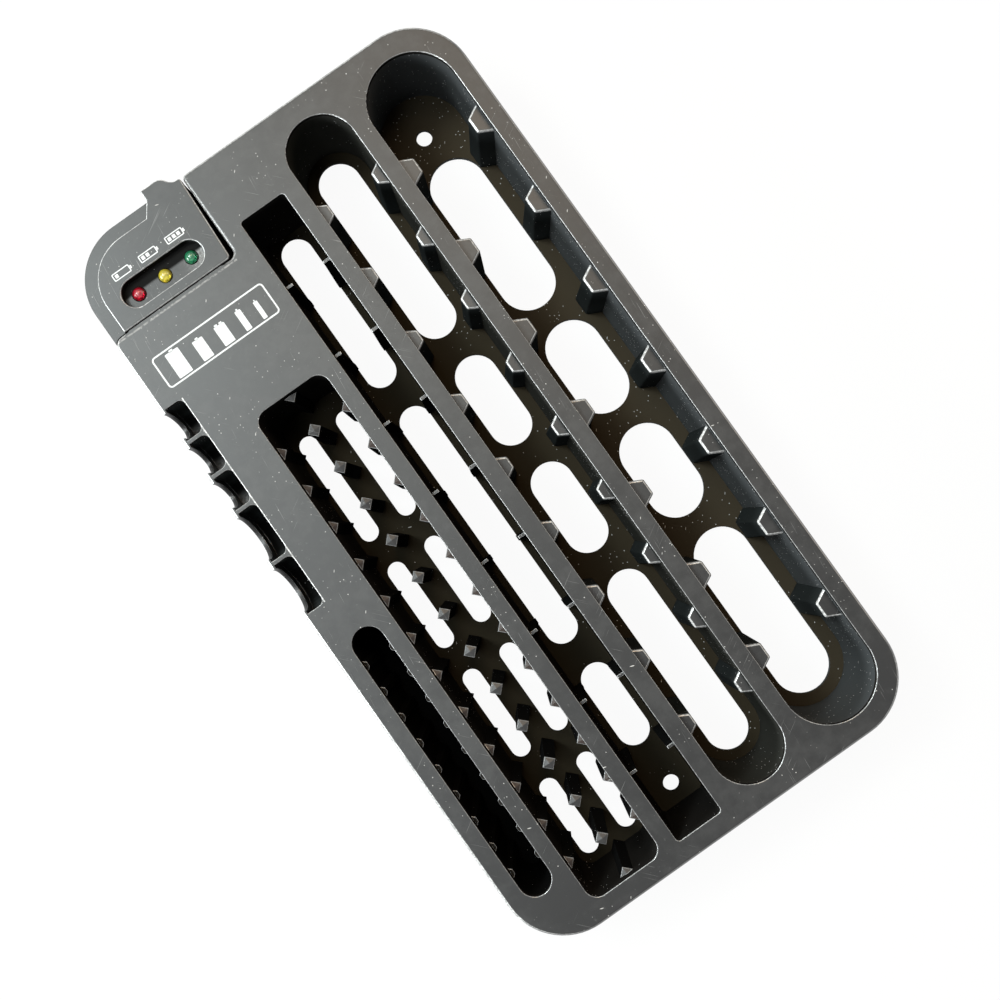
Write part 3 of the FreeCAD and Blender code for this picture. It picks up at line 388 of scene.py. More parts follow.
# %% [markdown]
# ## Rubbed and highlit edges
#
# Hands and cells rub a case's edges pale. Each edge could be marked by hand, but there are hundreds.
# Only a rounded edge has a surface that is neither level nor upright, so how far its normal leans is a
# mask of every edge at once. A second mask makes some sides paler: partly wear, partly painted highlight.


# %% Every rounded edge
def leaning(recipe):
    """1 on rounded edges, whose surface is neither level nor upright."""
    up = facing(recipe, "Z")
    return recipe.ramp(up, 0.12, 0.5) * recipe.ramp(up, 0.995, 0.93)


rim_starts = 2.2
rim_whole = 1.4


def rim(recipe, axis, edge, inward):
    """1 on the strip of deck along one side of the case; inward is 1 or -1 along the axis."""
    return recipe.ramp(along(recipe, axis), edge + inward * rim_starts, edge + inward * rim_whole)


def rim_wear_and_highlight(recipe):
    """How pale the edges are, partly wear and partly painted highlight: palest on the coin cells' side,
    which faces the lamps, and dimmest by the D cells, at the plain end and on edges turned towards them.
    """
    d_cell_side = rim(recipe, "X", cad_high.x / mm, -1)
    plain_end = rim(recipe, "Y", cad_low.y / mm, 1)
    coin_cell_side = rim(recipe, "X", cad_low.x / mm, 1)
    towards_plain_end = recipe.ramp(facing(recipe, "Y"), -0.5, -0.15, 0.3, 1.0)
    towards_d_cells = recipe.ramp(facing(recipe, "X"), 0.1, 0.5, 1.0, 0.5)
    dimmer_rims = 1 - larger(recipe, d_cell_side, plain_end) * 0.85
    turned = towards_plain_end * towards_d_cells
    return dimmer_rims * turned * (1 + coin_cell_side * 0.8)


print("the rim's wear is full", rim_whole, "mm from the edge")

# %% [markdown]
# ## Scratches, dust and a painted highlight
#
# Hairline scratches run in a few directions. Dust is round specks of two sizes and short fibres of lint,
# and a pale line in the joint beside the tester is a painted highlight. All of it could be scattered as
# thousands of tiny meshes, but it is far thinner than any mesh would show, so it is a pattern in the
# material. A Voronoi pattern suits dust: each of its cells holds one point, and a share is picked by
# colour.


# %% Scratches, dust and the joint's painted highlight
def scratches(recipe, turn, patch_size):
    """Sparse hairlines along one direction, broken up by patches."""
    lines = recipe.noise(0.34, 1.0, 0.4, stretch=(46, 1, 6), turn=turn)
    patches = recipe.noise(patch_size, 1.0)
    return recipe.ramp(lines, 0.715, 0.76) * recipe.ramp(patches, 0.5, 0.64)


def scattered(recipe, place, scale):
    """The distance from the nearest of many scattered points, and a random number for each."""
    sockets = {"Vector": place, "Scale": scale}
    distance = recipe.add("ShaderNodeTexVoronoi", {}, sockets, out="Distance")
    colour = recipe.add("ShaderNodeTexVoronoi", {}, sockets, out="Color")
    return distance, recipe.add("ShaderNodeSeparateColor", {}, {0: colour}, out="Red")


def specks(recipe, size, share, radius):
    """Small pale dots of dust, at a share of the points that lie about size millimetres apart."""
    wobble = recipe.noise(0.5, 2.0)
    distance, chance = scattered(recipe, recipe.place(), 1 / size)
    return recipe.ramp(distance + wobble * radius, radius * 1.5, radius) * (chance > 1 - share)


def lint(recipe, size, turn):
    """Sparse short fibres that all lie one way."""
    distance, chance = scattered(recipe, recipe.place((4.5, 1, 1), turn), 2.6 / size)
    return recipe.ramp(distance, 0.06, 0.035) * (chance > 0.72)


cover_low, cover_high = box_in_mm("tester_cover")


def painted_seam_highlight(recipe):
    """A painted highlight, pale and broken, along the joint between the tester and the deck."""
    across = away_from(recipe, "Y", cover_low.y)
    beside = along(recipe, "X") < cover_high.x
    return recipe.ramp(across, 0.5, 0.15) * recipe.ramp(recipe.noise(1.2, 3.0), 0.3, 0.7) * beside


def dust_and_seam_highlight(recipe, amount, seam_highlight):
    """The fine specks, which lie in crowds, and all the dust together with the joint's painted highlight.
    """
    crowds = recipe.ramp(recipe.noise(19, 2.0), 0.56 - 0.1 * amount, 0.76 - 0.1 * amount)
    fine = specks(recipe, 1.6, 0.5, 0.15) * crowds
    coarse = specks(recipe, 4.4, 0.6, 0.055) + lint(recipe, 7, 52) + lint(recipe, 10, -20)
    together = (coarse + fine) * amount
    if seam_highlight:
        together = together + painted_seam_highlight(recipe) * seam_highlight
    return fine, recipe.add("ShaderNodeClamp", {}, {"Value": together})


print("the tester's joint is at Y", round(cover_low.y, 2), "mm, up to X", round(cover_high.x, 2))

# %% [markdown]
# ## Where a mould is dull
#
# Only the faces that a polisher can reach are bright in a mould. Its deep ribs and upright walls stay
# dull, and so does the plastic that comes out of them. Different paint could be given to each face, but
# one mask for height and one for direction find them all, and the shader goes matt where they are 1.


# %% Dull faces
wall_height = (42.6, 40.5)
underside = (-0.6, -0.2)
steep = (0.35, 0.10)
sloping = (0.99, 0.92)


def deep_down(recipe):
    """Everything well below the deck, but not the undersides."""
    return recipe.ramp(along(recipe, "Z"), *wall_height) * recipe.ramp(facing(recipe, "Z"), *underside)


def upright(recipe):
    up = facing(recipe, "Z")
    return recipe.ramp(up, *steep) * recipe.ramp(up, *underside)


corner_radius = 23.5
outline_strip = (2.0, 1.5)


def outer_wall(recipe):
    """1 on the case's outside, found from the distance to its rounded outline."""
    folded = recipe.add("ShaderNodeVectorMath", {"operation": "ABSOLUTE"}, {0: recipe.place()})
    straight = (cad_high.x / mm - corner_radius, -cad_low.y / mm - corner_radius, 1000)
    past = recipe.add("ShaderNodeVectorMath", {"operation": "SUBTRACT"}, {0: folded, 1: straight})
    clipped = recipe.add("ShaderNodeVectorMath", {"operation": "MAXIMUM"}, {0: past, 1: (0, 0, 0)})
    reach = recipe.add("ShaderNodeVectorMath", {"operation": "LENGTH"}, {0: clipped}, out="Value")
    return recipe.ramp(reach, corner_radius - outline_strip[0], corner_radius - outline_strip[1])


def deck_walls(recipe):
    return upright(recipe) * (1 - outer_wall(recipe))


print("walls turn dull from", wall_height[0], "down to", wall_height[1], "mm")

# %% Ribs and posts
middle_row_x = -41.35
print("the middle row of posts is at X", middle_row_x, "mm")


def off_level(recipe):
    """Upright faces wholly, and sloping ones by about half."""
    up = facing(recipe, "Z")
    return recipe.ramp(up, *steep) * 0.4 + recipe.ramp(up, *sloping) * 0.6


def off_level_posts(recipe):
    """The same, but the posts in the middle of the AA row are glossier where they slope."""
    middle = recipe.ramp(away_from(recipe, "X", middle_row_x), 4.0, 3.5)
    up = facing(recipe, "Z")
    walls = recipe.ramp(up, *steep) * (0.4 + middle * 0.6)
    return walls + recipe.ramp(up, *sloping) * (0.6 - middle * 0.6)


# %% [markdown]
# ## Coin pockets and the lamp window
#
# The small coin pockets' ends get a painted sheen, and the lamp window's floor a painted light, paler at
# one end.
# Both could be split off as pieces with materials of their own, but they are places on one moulding.
# So these masks are made from measured positions: the pockets repeat at an even pitch, and the
# remainder after dividing by it tells how far into a pocket a point lies.

# %% Coin pockets
pocket_low, pocket_high = box_in_mm("coin_cell_pockets")
pocket_wall = 2.0
small_pocket_start = 42.0
small_pocket_pitch = 15.3
pocket_highlight_x = pocket_high.x - pocket_wall + 0.12
print("pockets end at Y", round(pocket_high.y, 2), "mm, the small ones start at", small_pocket_start)


def pocket_ends(recipe):
    """Inside the three small pockets, rising towards the end of each that is nearer the plain end."""
    sockets = {0: along(recipe, "Y") - small_pocket_start, 1: small_pocket_pitch}
    into_pocket = recipe.add("ShaderNodeMath", {"operation": "FLOORED_MODULO"}, sockets)
    small = (along(recipe, "Y") > small_pocket_start) * recipe.ramp(along(recipe, "Z"), 42, 40)
    return recipe.ramp(into_pocket, 9.0, 2.0) * small * (1 - outer_wall(recipe))


def painted_pocket_end_sheen(recipe):
    """A patchy painted sheen on the same places."""
    return pocket_ends(recipe) * recipe.ramp(recipe.noise(3.0, 3.0), 0.20, 0.60) * 0.60


def painted_pocket_edge_highlight(recipe):
    """A painted highlight along the deck's edge beside the coin pockets."""
    across = recipe.ramp(away_from(recipe, "X", pocket_highlight_x), 0.34, 0.12)
    after_first = along(recipe, "Y") > pocket_low.y + pocket_wall
    before_last = along(recipe, "Y") < pocket_high.y - pocket_wall
    return across * after_first * before_last * recipe.ramp(along(recipe, "Z"), 42.3, 42.9)


def pocket_walls(recipe):
    """Deep down, but the small pockets' polished ends are bright."""
    return deep_down(recipe) * (1 - pocket_ends(recipe) * 0.9) * (1 - outer_wall(recipe))


# %% The tester's lamp window
window_foot = (38.0, 39.0)
window_floor_top = (41.6, 40.9)
window_low_y = 121
window_high_y = 133.5
print("the lamp window lies between Y", window_low_y, "and", window_high_y, "mm")


def window_floor(recipe):
    height = along(recipe, "Z")
    return recipe.ramp(height, *window_floor_top) * recipe.ramp(height, *window_foot)


def painted_window_floor_light(recipe):
    """A painted light on the lamp window's floor, paler towards the green lamp."""
    return window_floor(recipe) * recipe.ramp(along(recipe, "X"), -47, -36, 0.02, 0.40)


def tester_walls_and_painted_shadow(recipe):
    """Its inner walls, and a painted shadow over the back of the lamp window's floor; the window's end is
    polished.
    """
    across = along(recipe, "Y")
    window_painted_shadow = recipe.ramp(across, 127.4, 128.6, 0.15, 1.0)
    window = recipe.ramp(along(recipe, "Z"), *window_foot)
    window = window * (across < window_high_y) * (across > window_low_y)
    end = recipe.ramp(facing(recipe, "X"), -0.2, -0.7) * window
    inner = upright(recipe) * (1 - outer_wall(recipe)) * (1 - end * 0.75)
    return larger(recipe, inner, window_floor(recipe) * window_painted_shadow)


# %% [markdown]
# ## One recipe for every plastic piece
#
# The case and the tester are the same plastic. Each piece could have a material of its own, but one
# function that mixes the masks keeps them alike, and each piece only changes the amounts. Pale film,
# scuffs, scratches, rubbed edges and painted highlights are blended over the black, then dust and the
# joint's painted highlight over those. Rounded edges get a clear coat as well, which makes them glint.


# %% Satin plastic
plastic_tone = 0.010
pale_wear_and_highlight = grey(0.72, 0.01)
pale_dust_and_highlight = grey(0.62, 0.03)
deep_dust = grey(0.55, 0.02)


def moulded_plastic(name, gloss=0.42, dust=1.0, wear=1.0, rub_and_highlight=0.5, shine=1.5, seam_highlight=0.0, marks=None,
                    dull=None, wall=(0.014, 0.013, 0.012, 1), floor=(0.036, 0.029, 0.019, 1)):
    """Satin black. Where dull is 1 the skin is matt, in its wall or floor colour."""
    recipe = new_recipe(name)
    grain = recipe.noise(0.42, 2.0, 0.6)
    mottle = recipe.noise(5.5, 3.0, 0.6)
    drift = recipe.noise(42, 2.0)
    edge = leaning(recipe) * wear
    rubbing_and_highlight = edge * rim_wear_and_highlight(recipe) * rub_and_highlight
    # marks are painted light: the highlight on the pocket edge, the sheen on the pocket ends and the lit
    # lamp window floor.
    if marks:
        rubbing_and_highlight = rubbing_and_highlight + marks(recipe)
    patchy = recipe.ramp(recipe.noise(0.9, 3.0, 0.7), 0.42, 0.60)
    hairs = scratches(recipe, 31, 26) + scratches(recipe, -48, 34) + scratches(recipe, 84, 19)
    scuffs = recipe.ramp(recipe.noise(2.4, 5.0, 0.72), 0.60, 0.74)
    scuffs = scuffs * recipe.ramp(recipe.noise(17), 0.52, 0.66)
    fine, dust_and_highlight_dots = dust_and_seam_highlight(recipe, dust, seam_highlight)
    film = recipe.ramp(mottle + drift, 0.85, 1.3) * (0.02 * dust)

    tones = grey(plastic_tone * 0.9), grey(plastic_tone * 1.1)
    plain = recipe.blend(recipe.ramp(drift + mottle * 0.5, 0.5, 1.0), *tones)
    wear_and_highlight_share = film + scuffs * 0.07 + hairs * 0.16 + rubbing_and_highlight * (patchy * 0.55 + 0.45)
    worn_and_highlit = recipe.blend(wear_and_highlight_share, plain, pale_wear_and_highlight)
    paint = recipe.blend(dust_and_highlight_dots * 0.85, worn_and_highlit, pale_dust_and_highlight)
    rough = gloss + (drift - 0.5) * 0.12 + (mottle - 0.5) * 0.06
    rough = rough + scuffs * 0.10 + dust_and_highlight_dots * 0.3 - edge * 0.22
    normal = recipe.relief(grain + mottle * 0.5 - hairs * 0.8 + dust_and_highlight_dots * 1.2, 0.012, soft_edge=0.25)
    satin = recipe.skin({"Base Color": paint, "Roughness": rough, "Coat Weight": edge},
                        {"IOR": shine, "Coat Roughness": 0.14, "Coat IOR": 1.9}, normal)
    if dull is None:
        return recipe.close(satin)
    bare = recipe.blend(recipe.ramp(facing(recipe, "Z"), 0.5, 0.9), wall, floor)
    deep = recipe.blend(recipe.ramp(fine + dust_and_highlight_dots, 0.1, 0.9) * 0.85, bare, deep_dust)
    share = dull(recipe) * (1 - edge)
    mixed = {0: share, 1: satin, 2: recipe.matt(deep, normal)}
    return recipe.close(recipe.add("ShaderNodeMixShader", {}, mixed))


# %% The case's plastic
near_black = (0.006, 0.006, 0.006, 1)
case_satin = moulded_plastic("case_satin_black", dust=0.6)
bay_satin = moulded_plastic("bay_satin_black", rub_and_highlight=1.0)
deck_satin = moulded_plastic("deck_satin_black", seam_highlight=0.5, marks=painted_pocket_edge_highlight, dull=deck_walls)
pocket_satin = moulded_plastic("pocket_satin_black", wear=0.0, marks=painted_pocket_end_sheen, dull=pocket_walls,
                               wall=(0.03, 0.033, 0.033, 1), floor=near_black)
rib_satin = moulded_plastic("rib_satin_black", gloss=0.36, rub_and_highlight=1.0, dull=off_level,
                            wall=(0.022, 0.025, 0.025, 1), floor=(0.075, 0.066, 0.050, 1))
post_satin = moulded_plastic("post_satin_black", gloss=0.36, dust=0.7, wear=0.0, shine=1.62,
                             dull=off_level_posts, wall=(0.009, 0.009, 0.009, 1),
                             floor=(0.070, 0.050, 0.042, 1))
aaa_rib_satin = moulded_plastic("aaa_rib_satin_black", dust=0.5, wear=0.0, dull=deep_down,
                                wall=near_black, floor=(0.022, 0.020, 0.018, 1))
# The dull wall and floor tones step down from the wide D row to the narrow AAA row as painted light and
# shade: the D row's walls get a cool painted sheen and the AAA row is painted black.
d_well = moulded_plastic("d_well_black", dust=2.0, dull=deep_down, wall=(0.064, 0.068, 0.070, 1),
                         floor=(0.046, 0.037, 0.025, 1))
c_well = moulded_plastic("c_well_black", dust=1.2, dull=deep_down, wall=(0.034, 0.034, 0.030, 1))
narrow_well = moulded_plastic("narrow_well_black", dust=0.8, dull=deep_down,
                              floor=(0.030, 0.025, 0.017, 1))
aaa_well = moulded_plastic("aaa_well_black", dust=0.4, dull=deep_down, wall=near_black, floor=near_black)

# %% The tester's plastic
# The tester's matt floor colour is the black of a painted shadow over the back of the lamp window's
# floor.
tester_satin = moulded_plastic("tester_satin_black", gloss=0.40, dust=0.9, rub_and_highlight=1.0, shine=1.45, seam_highlight=0.5,
                               marks=painted_window_floor_light, dull=tester_walls_and_painted_shadow, floor=(0.012, 0.012, 0.012, 1))
slider_satin = moulded_plastic("slider_satin_black", gloss=0.34, dust=0.3)


# %% Put it on the pieces
def dress(material, *names):
    """Puts a material on CAD nodes."""
    for name in names:
        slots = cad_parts[name].data.materials
        slots.clear()
        slots.append(material)
    print(material.name, "on", ", ".join(names))


dress(deck_satin, "case_deck")
dress(case_satin, "case_skirt", "stiffening_webs")
dress(bay_satin, "tester_bay")
dress(pocket_satin, "coin_cell_pockets")
dress(rib_satin, "d_cell_ribs", "c_cell_ribs")
dress(post_satin, "nine_volt_ribs", "aa_cell_posts")
dress(aaa_rib_satin, "aaa_cell_ribs")
dress(d_well, "d_cell_channel")
dress(c_well, "c_cell_channel")
dress(narrow_well, "nine_volt_channel", "aa_cell_channel")
dress(aaa_well, "aaa_cell_channel")
dress(tester_satin, "tester_cover", "tester_cradle")
dress(slider_satin, "contact_slider")

# %% [markdown]
# ## Rounded ribs
#
# On the mould every rib and post has a small radius on its edges, because a sharp steel corner can't
# be polished. The D and C ribs have theirs in the solids. The smaller ribs, the posts and the coin
# pockets are sharp there, and could be left so, but a sharp edge catches no light. A Bevel modifier
# rounds them here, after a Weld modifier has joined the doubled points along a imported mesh's edges.


# %% Plastic on the rounded strips
def edge_wear_and_highlight_plastic(name, light, gloss):
    """The thin rounded strips round a rib's top: rubbed smooth, pale where they face up as wear and
    painted highlight.
    """
    recipe = new_recipe(name)
    patchy = recipe.ramp(recipe.noise(1.6, 4.0, 0.7), 0.25, 0.62)
    top = recipe.ramp(facing(recipe, "Z"), 0.04, 0.22) * recipe.ramp(facing(recipe, "Z"), 0.997, 0.97)
    # A painted highlight makes the strips pale where they face up; the patches are wear.
    shown = top * (patchy * 0.5 + 0.5)
    paint = recipe.blend(shown, grey(plastic_tone), grey(light))
    normal = recipe.relief(recipe.noise(0.42, 2.0, 0.6), 0.008)
    bright = recipe.skin({"Base Color": paint, "Roughness": gloss + 0.12 * patchy, "Coat Weight": top},
                         {"IOR": 1.59, "Coat Roughness": 0.10}, normal)
    matt = recipe.matt(grey(0.008), normal)
    return recipe.close(recipe.add("ShaderNodeMixShader", {}, {0: top, 1: matt, 2: bright}))


rib_edge_wear_and_highlight = edge_wear_and_highlight_plastic("rib_edge_wear_and_painted_highlight", 0.70, 0.14)
post_edge_wear_and_highlight = edge_wear_and_highlight_plastic("post_edge_wear_and_painted_highlight", 0.26, 0.20)


# %% Round the ribs' edges
sharp_edge_degrees = 40


def round_edges(name, radius, strip):
    """Rounds a node's sharp edges, and gives the rounded strips the node's second material."""
    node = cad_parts[name]
    node.data.materials.append(strip)
    weld = node.modifiers.new("weld", "WELD")
    weld.merge_threshold = 0.002 * mm
    bevel = node.modifiers.new("rounded", "BEVEL")
    bevel.width = radius * mm
    bevel.segments = 3
    bevel.limit_method = "ANGLE"
    bevel.angle_limit = math.radians(sharp_edge_degrees)
    bevel.harden_normals = True
    bevel.material = 1
    print("rounded", name, "by", radius, "mm")


round_edges("nine_volt_ribs", 0.2, rib_edge_wear_and_highlight)
round_edges("aa_cell_posts", 0.25, post_edge_wear_and_highlight)
round_edges("aaa_cell_ribs", 0.2, post_edge_wear_and_highlight)
round_edges("coin_cell_pockets", 0.3, rib_edge_wear_and_highlight)

# %% [markdown]
# ## Small parts of the tester
#
# The lamps are 5 mm light-emitting diodes: a tinted epoxy lens cast round two steel legs, one of which
# ends in a cup that holds the crystal. A clear red lens alone would look like a glass bead, so the cup
# and legs are made too. They are turned profiles and thin bars, joined into one mesh for each lamp.


# %% Turned and boxed shapes
def turned(mesh, middle, profile, segments=24):
    """Adds a closed turned solid about a vertical line: profile lists radius and height in mm."""
    rings = []
    for radius, height in profile:
        z = height * mm
        if radius == 0:
            rings.append([mesh.verts.new((middle[0] * mm, middle[1] * mm, z))])
            continue
        ring = []
        for step in range(segments):
            angle = 2 * math.pi * step / segments
            ring.append(mesh.verts.new((middle[0] * mm + radius * mm * math.cos(angle),
                                        middle[1] * mm + radius * mm * math.sin(angle), z)))
        rings.append(ring)
    for lower, upper in zip(rings, rings[1:]):
        for step in range(segments):
            after = (step + 1) % segments
            corners = [lower[step % len(lower)], lower[after % len(lower)],
                       upper[after % len(upper)], upper[step % len(upper)]]
            mesh.faces.new(list(dict.fromkeys(corners)))


def slab(mesh, x, y, z):
    """Adds a box between two values in mm along each axis."""
    corners = [mesh.verts.new((a * mm, b * mm, c * mm)) for c in z for b in y for a in x]
    for order in ((0, 2, 3, 1), (4, 5, 7, 6), (0, 1, 5, 4), (2, 6, 7, 3), (0, 4, 6, 2), (1, 3, 7, 5)):
        mesh.faces.new([corners[i] for i in order])


def piece(name, mesh, material, body, smooth=None):
    """Turns a mesh into an object that rides on a body; smooth is the sharpest smooth edge in degrees."""
    bmesh.ops.recalc_face_normals(mesh, faces=mesh.faces)
    data = bpy.data.meshes.new(name)
    mesh.to_mesh(data)
    mesh.free()
    data.materials.append(material)
    made = bpy.data.objects.new(name, data)
    scene.collection.objects.link(made)
    if smooth:
        data.shade_smooth()
        data.set_sharp_from_angle(angle=math.radians(smooth))
    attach(made, body)
    print(name, len(data.polygons), "faces on", body)
    return made


# %% Tinted lenses
def lens(name, tint, deep):
    """Tinted epoxy, painted lighter at the crown and darker towards its flange as shade."""
    recipe = new_recipe(name)
    height = along(recipe, "Z")
    cloud = recipe.noise(1.3, 3.0, 0.6)
    # Painted shade: the tint darkens from the crown down towards the flange.
    body = recipe.blend(recipe.ramp(height + cloud * 1.2, 39.5, 42.8), deep, tint)
    dusted = recipe.blend(specks(recipe, 0.9, 0.3, 0.08) * 0.6, body, grey(0.6))
    normal = recipe.relief(recipe.noise(1.1, 2.0), 0.03)
    return recipe.close(recipe.skin({"Base Color": dusted}, {
        "Roughness": 0.07, "IOR": 1.53, "Transmission Weight": 0.45, "Coat Weight": 0.5}, normal))


red_epoxy = lens("red_epoxy", (0.50, 0.008, 0.026, 1), (0.12, 0.003, 0.008, 1))
yellow_epoxy = lens("yellow_epoxy", (0.68, 0.56, 0.05, 1), (0.30, 0.22, 0.02, 1))
green_epoxy = lens("green_epoxy", (0.022, 0.22, 0.10, 1), (0.006, 0.07, 0.035, 1))
dress(red_epoxy, "red_led")
dress(yellow_epoxy, "yellow_led")
dress(green_epoxy, "green_led")


# %% [markdown]
# ## Metals
#
# The contacts are nickel plated, the screws zinc plated, the legs tinned and the spring drawn wire.
# Plain grey metal would look like chrome, so each has fine lines along the way that it was drawn or
# rolled, and dull spots where fingers have been. One function makes them all, with other amounts.


# %% Plated and drawn metal
def metal(name, colour, gloss, stretch=(1, 1, 1), spots=0.3):
    """Plated or drawn metal with fine lines along one axis and a few dull spots."""
    recipe = new_recipe(name)
    lines = recipe.noise(0.12, 2.0, 0.6, stretch=stretch)
    patches = recipe.ramp(recipe.noise(1.8, 4.0, 0.7), 0.50, 0.70)
    tarnish = tuple(c * 0.55 for c in colour)
    paint = recipe.blend(patches * spots, (*colour, 1), (*tarnish, 1))
    rough = gloss + lines * 0.12 + patches * 0.18
    return recipe.close(recipe.skin({"Base Color": paint, "Roughness": rough}, {"Metallic": 1.0},
                                    recipe.relief(lines, 0.004)))


nickel = metal("nickel_plate", (0.70, 0.67, 0.60), 0.20, (1, 8, 1))
spring_wire_steel = metal("drawn_spring_steel", (0.55, 0.55, 0.56), 0.24, (8, 1, 1), 0.15)
zinc = metal("zinc_plate", (0.62, 0.63, 0.66), 0.30, (1, 1, 1), 0.5)
tinned = metal("tinned_leads", (0.72, 0.72, 0.70), 0.26, (1, 1, 8), 0.2)
solder = metal("solder", (0.66, 0.66, 0.65), 0.22, (1, 1, 1), 0.4)
dress(nickel, "fixed_contact", "slider_contact", "spring_terminal", "nine_volt_contacts")
dress(zinc, "cover_screws")


# %% Legs and cups inside the lenses
lamp_places = {}
for colour in ("red", "yellow", "green"):
    low, high = box_in_mm(colour + "_led")
    lamp_places[colour] = ((low.x + high.x) / 2, (low.y + high.y) / 2)
board_low, board_high = box_in_mm("circuit_board")
print("lamps at", {k: [round(c, 2) for c in v] for k, v in lamp_places.items()})
print("board", round(board_high.z - board_low.z, 2), "mm thick")

leg_offset = 1.27
leg_half = 0.25
arm_half = 0.2
crystal_half = 0.15
cup_profile = [(0, 38.0), (0.62, 38.0), (1.0, 39.1), (0.86, 39.1), (0.5, 38.45), (0, 38.45)]
for colour, (x, y) in lamp_places.items():
    frame_mesh = bmesh.new()
    turned(frame_mesh, (x - 0.35, y), cup_profile)
    arm_y = (y - arm_half, y + arm_half)
    slab(frame_mesh, (x - 0.55, x - 0.15), arm_y, (37.2, 38.1))
    slab(frame_mesh, (x - leg_offset - leg_half, x + 0.05), arm_y, (36.9, 37.3))
    slab(frame_mesh, (x + 0.75, x + leg_offset + leg_half), arm_y, (36.9, 38.8))
    for side in (-1, 1):
        leg = x + side * leg_offset
        slab(frame_mesh, (leg - leg_half, leg + leg_half), (y - leg_half, y + leg_half),
             (board_low.z - 1.1, 37.0))
    slab(frame_mesh, (x - 0.50, x - 0.20), (y - crystal_half, y + crystal_half), (38.45, 38.7))
    piece(colour + "_led_frame", frame_mesh, tinned, "tester", 40)

# %% [markdown]
# ## The board and what is soldered to it
#
# The tester's circuit board is a small single-sided one. Its tracks could be cut from thin plates, but
# they are only 0.035 mm thick, so they are a pattern in the board's material. What stands up from the
# board is modelled: the joints round each leg, the chip's legs and the resistors' tinned ends.


# %% Board laminate with tracks
def laminate():
    recipe = new_recipe("board_laminate")
    sockets = {"Vector": recipe.place((1.6, 1, 1)), "Scale": 1 / 2.6, "Randomness": 0.75}
    squared = {"feature": "DISTANCE_TO_EDGE", "distance": "CHEBYCHEV"}
    track = recipe.ramp(recipe.add("ShaderNodeTexVoronoi", squared, sockets), 0.11, 0.16)
    weave = recipe.noise(0.3, stretch=(6, 1, 1)) + recipe.noise(0.3, stretch=(1, 6, 1))
    bare = recipe.blend(weave * 0.5, (0.020, 0.085, 0.035, 1), (0.032, 0.120, 0.050, 1))
    masked = recipe.blend(track, (0.050, 0.200, 0.070, 1), bare)
    rough = 0.34 + weave * 0.06
    return recipe.close(recipe.skin({"Base Color": masked, "Roughness": rough}, {"IOR": 1.5},
                                    recipe.relief(weave * 0.3 - track, 0.02)))


def dark_case(name, tone, speckle):
    recipe = new_recipe(name)
    fine = recipe.noise(0.25, 3.0, 0.7)
    paint = recipe.blend(recipe.ramp(fine, 0.4, 0.7) * speckle, grey(tone), grey(tone * 2.2))
    return recipe.close(recipe.skin({"Base Color": paint, "Roughness": 0.45 + fine * 0.12}, {"IOR": 1.5},
                                    recipe.relief(fine, 0.01)))


moulding_epoxy = dark_case("moulding_epoxy", 0.022, 0.6)
dress(laminate(), "circuit_board")
dress(moulding_epoxy, "led_driver_chip", "board_resistors")


# %% Solder joints
def raised(profile, height):
    """A profile moved up."""
    return [(radius, height + z) for radius, z in profile]


under_profile = [(0, -0.75), (0.28, -0.70), (0.45, -0.35), (0.95, 0.0), (0, 0)]
joint_mesh = bmesh.new()
for x, y in lamp_places.values():
    for side in (-1, 1):
        turned(joint_mesh, (x + side * leg_offset, y), raised(under_profile, board_low.z), 16)
piece("lamp_solder_joints", joint_mesh, solder, "tester", 50)

over_profile = [(0, 0), (1.5, 0), (0.9, 0.35), (0, 0.5)]
stud_low, stud_high = box_in_mm("nine_volt_contacts")
stud_joint_mesh = bmesh.new()
stud_radius = (stud_high.y - stud_low.y) / 2
for x in (stud_low.x + stud_radius, stud_high.x - stud_radius):
    stud_middle = (x, (stud_low.y + stud_high.y) / 2)
    turned(stud_joint_mesh, stud_middle, raised(over_profile, board_high.z), 20)
piece("stud_solder_joints", stud_joint_mesh, solder, "tester", 50)

# %% The chip's legs
chip_low, chip_high = box_in_mm("led_driver_chip")
chip_leg_count = 3
chip_leg_half = 0.2
chip_leg_thickness = 0.15
shoulder_z = (chip_low.z + chip_high.z) / 2
shoulder_foot = shoulder_z - chip_leg_thickness / 2
legs_mesh = bmesh.new()
for number in range(chip_leg_count):
    x = chip_low.x + (number + 0.5) * (chip_high.x - chip_low.x) / chip_leg_count
    leg_x = (x - chip_leg_half, x + chip_leg_half)
    for side, face in ((-1, chip_low.y), (1, chip_high.y)):
        shoulder = sorted((face, face + side * 0.35))
        shin = sorted((face + side * 0.20, face + side * 0.35))
        foot = sorted((face + side * 0.20, face + side * 0.85))
        slab(legs_mesh, leg_x, shoulder, (shoulder_foot, shoulder_z + chip_leg_thickness / 2))
        slab(legs_mesh, leg_x, shin, (chip_low.z, shoulder_foot))
        slab(legs_mesh, leg_x, foot, (chip_low.z, chip_low.z + chip_leg_thickness))
piece("chip_legs", legs_mesh, tinned, "tester")

# %% The resistors' tinned ends
resistor_low, resistor_high = box_in_mm("board_resistors")
resistor_half = 1.6
cap_length = 0.45
cap_proud = 0.02
cap_y = (resistor_low.y - cap_proud, resistor_high.y + cap_proud)
cap_z = (resistor_low.z, resistor_high.z + cap_proud)
cap_mesh = bmesh.new()
for x, _ in lamp_places.values():
    for side in (-1, 1):
        span = sorted((x + side * (resistor_half - cap_length), x + side * (resistor_half + cap_proud)))
        slab(cap_mesh, span, cap_y, cap_z)
piece("resistor_ends", cap_mesh, solder, "tester")

# %% [markdown]
# ## The return spring
#
# The spring pulls the tester's sliding jaw back. It shortens when the jaw is drawn out, so its solid is
# replaced by a wound mesh that flattens towards its fixed end. A curve with a round bevel would be
# quicker to draw, but only a mesh can be squashed. Its end turns lie flat, as a cut spring's do.


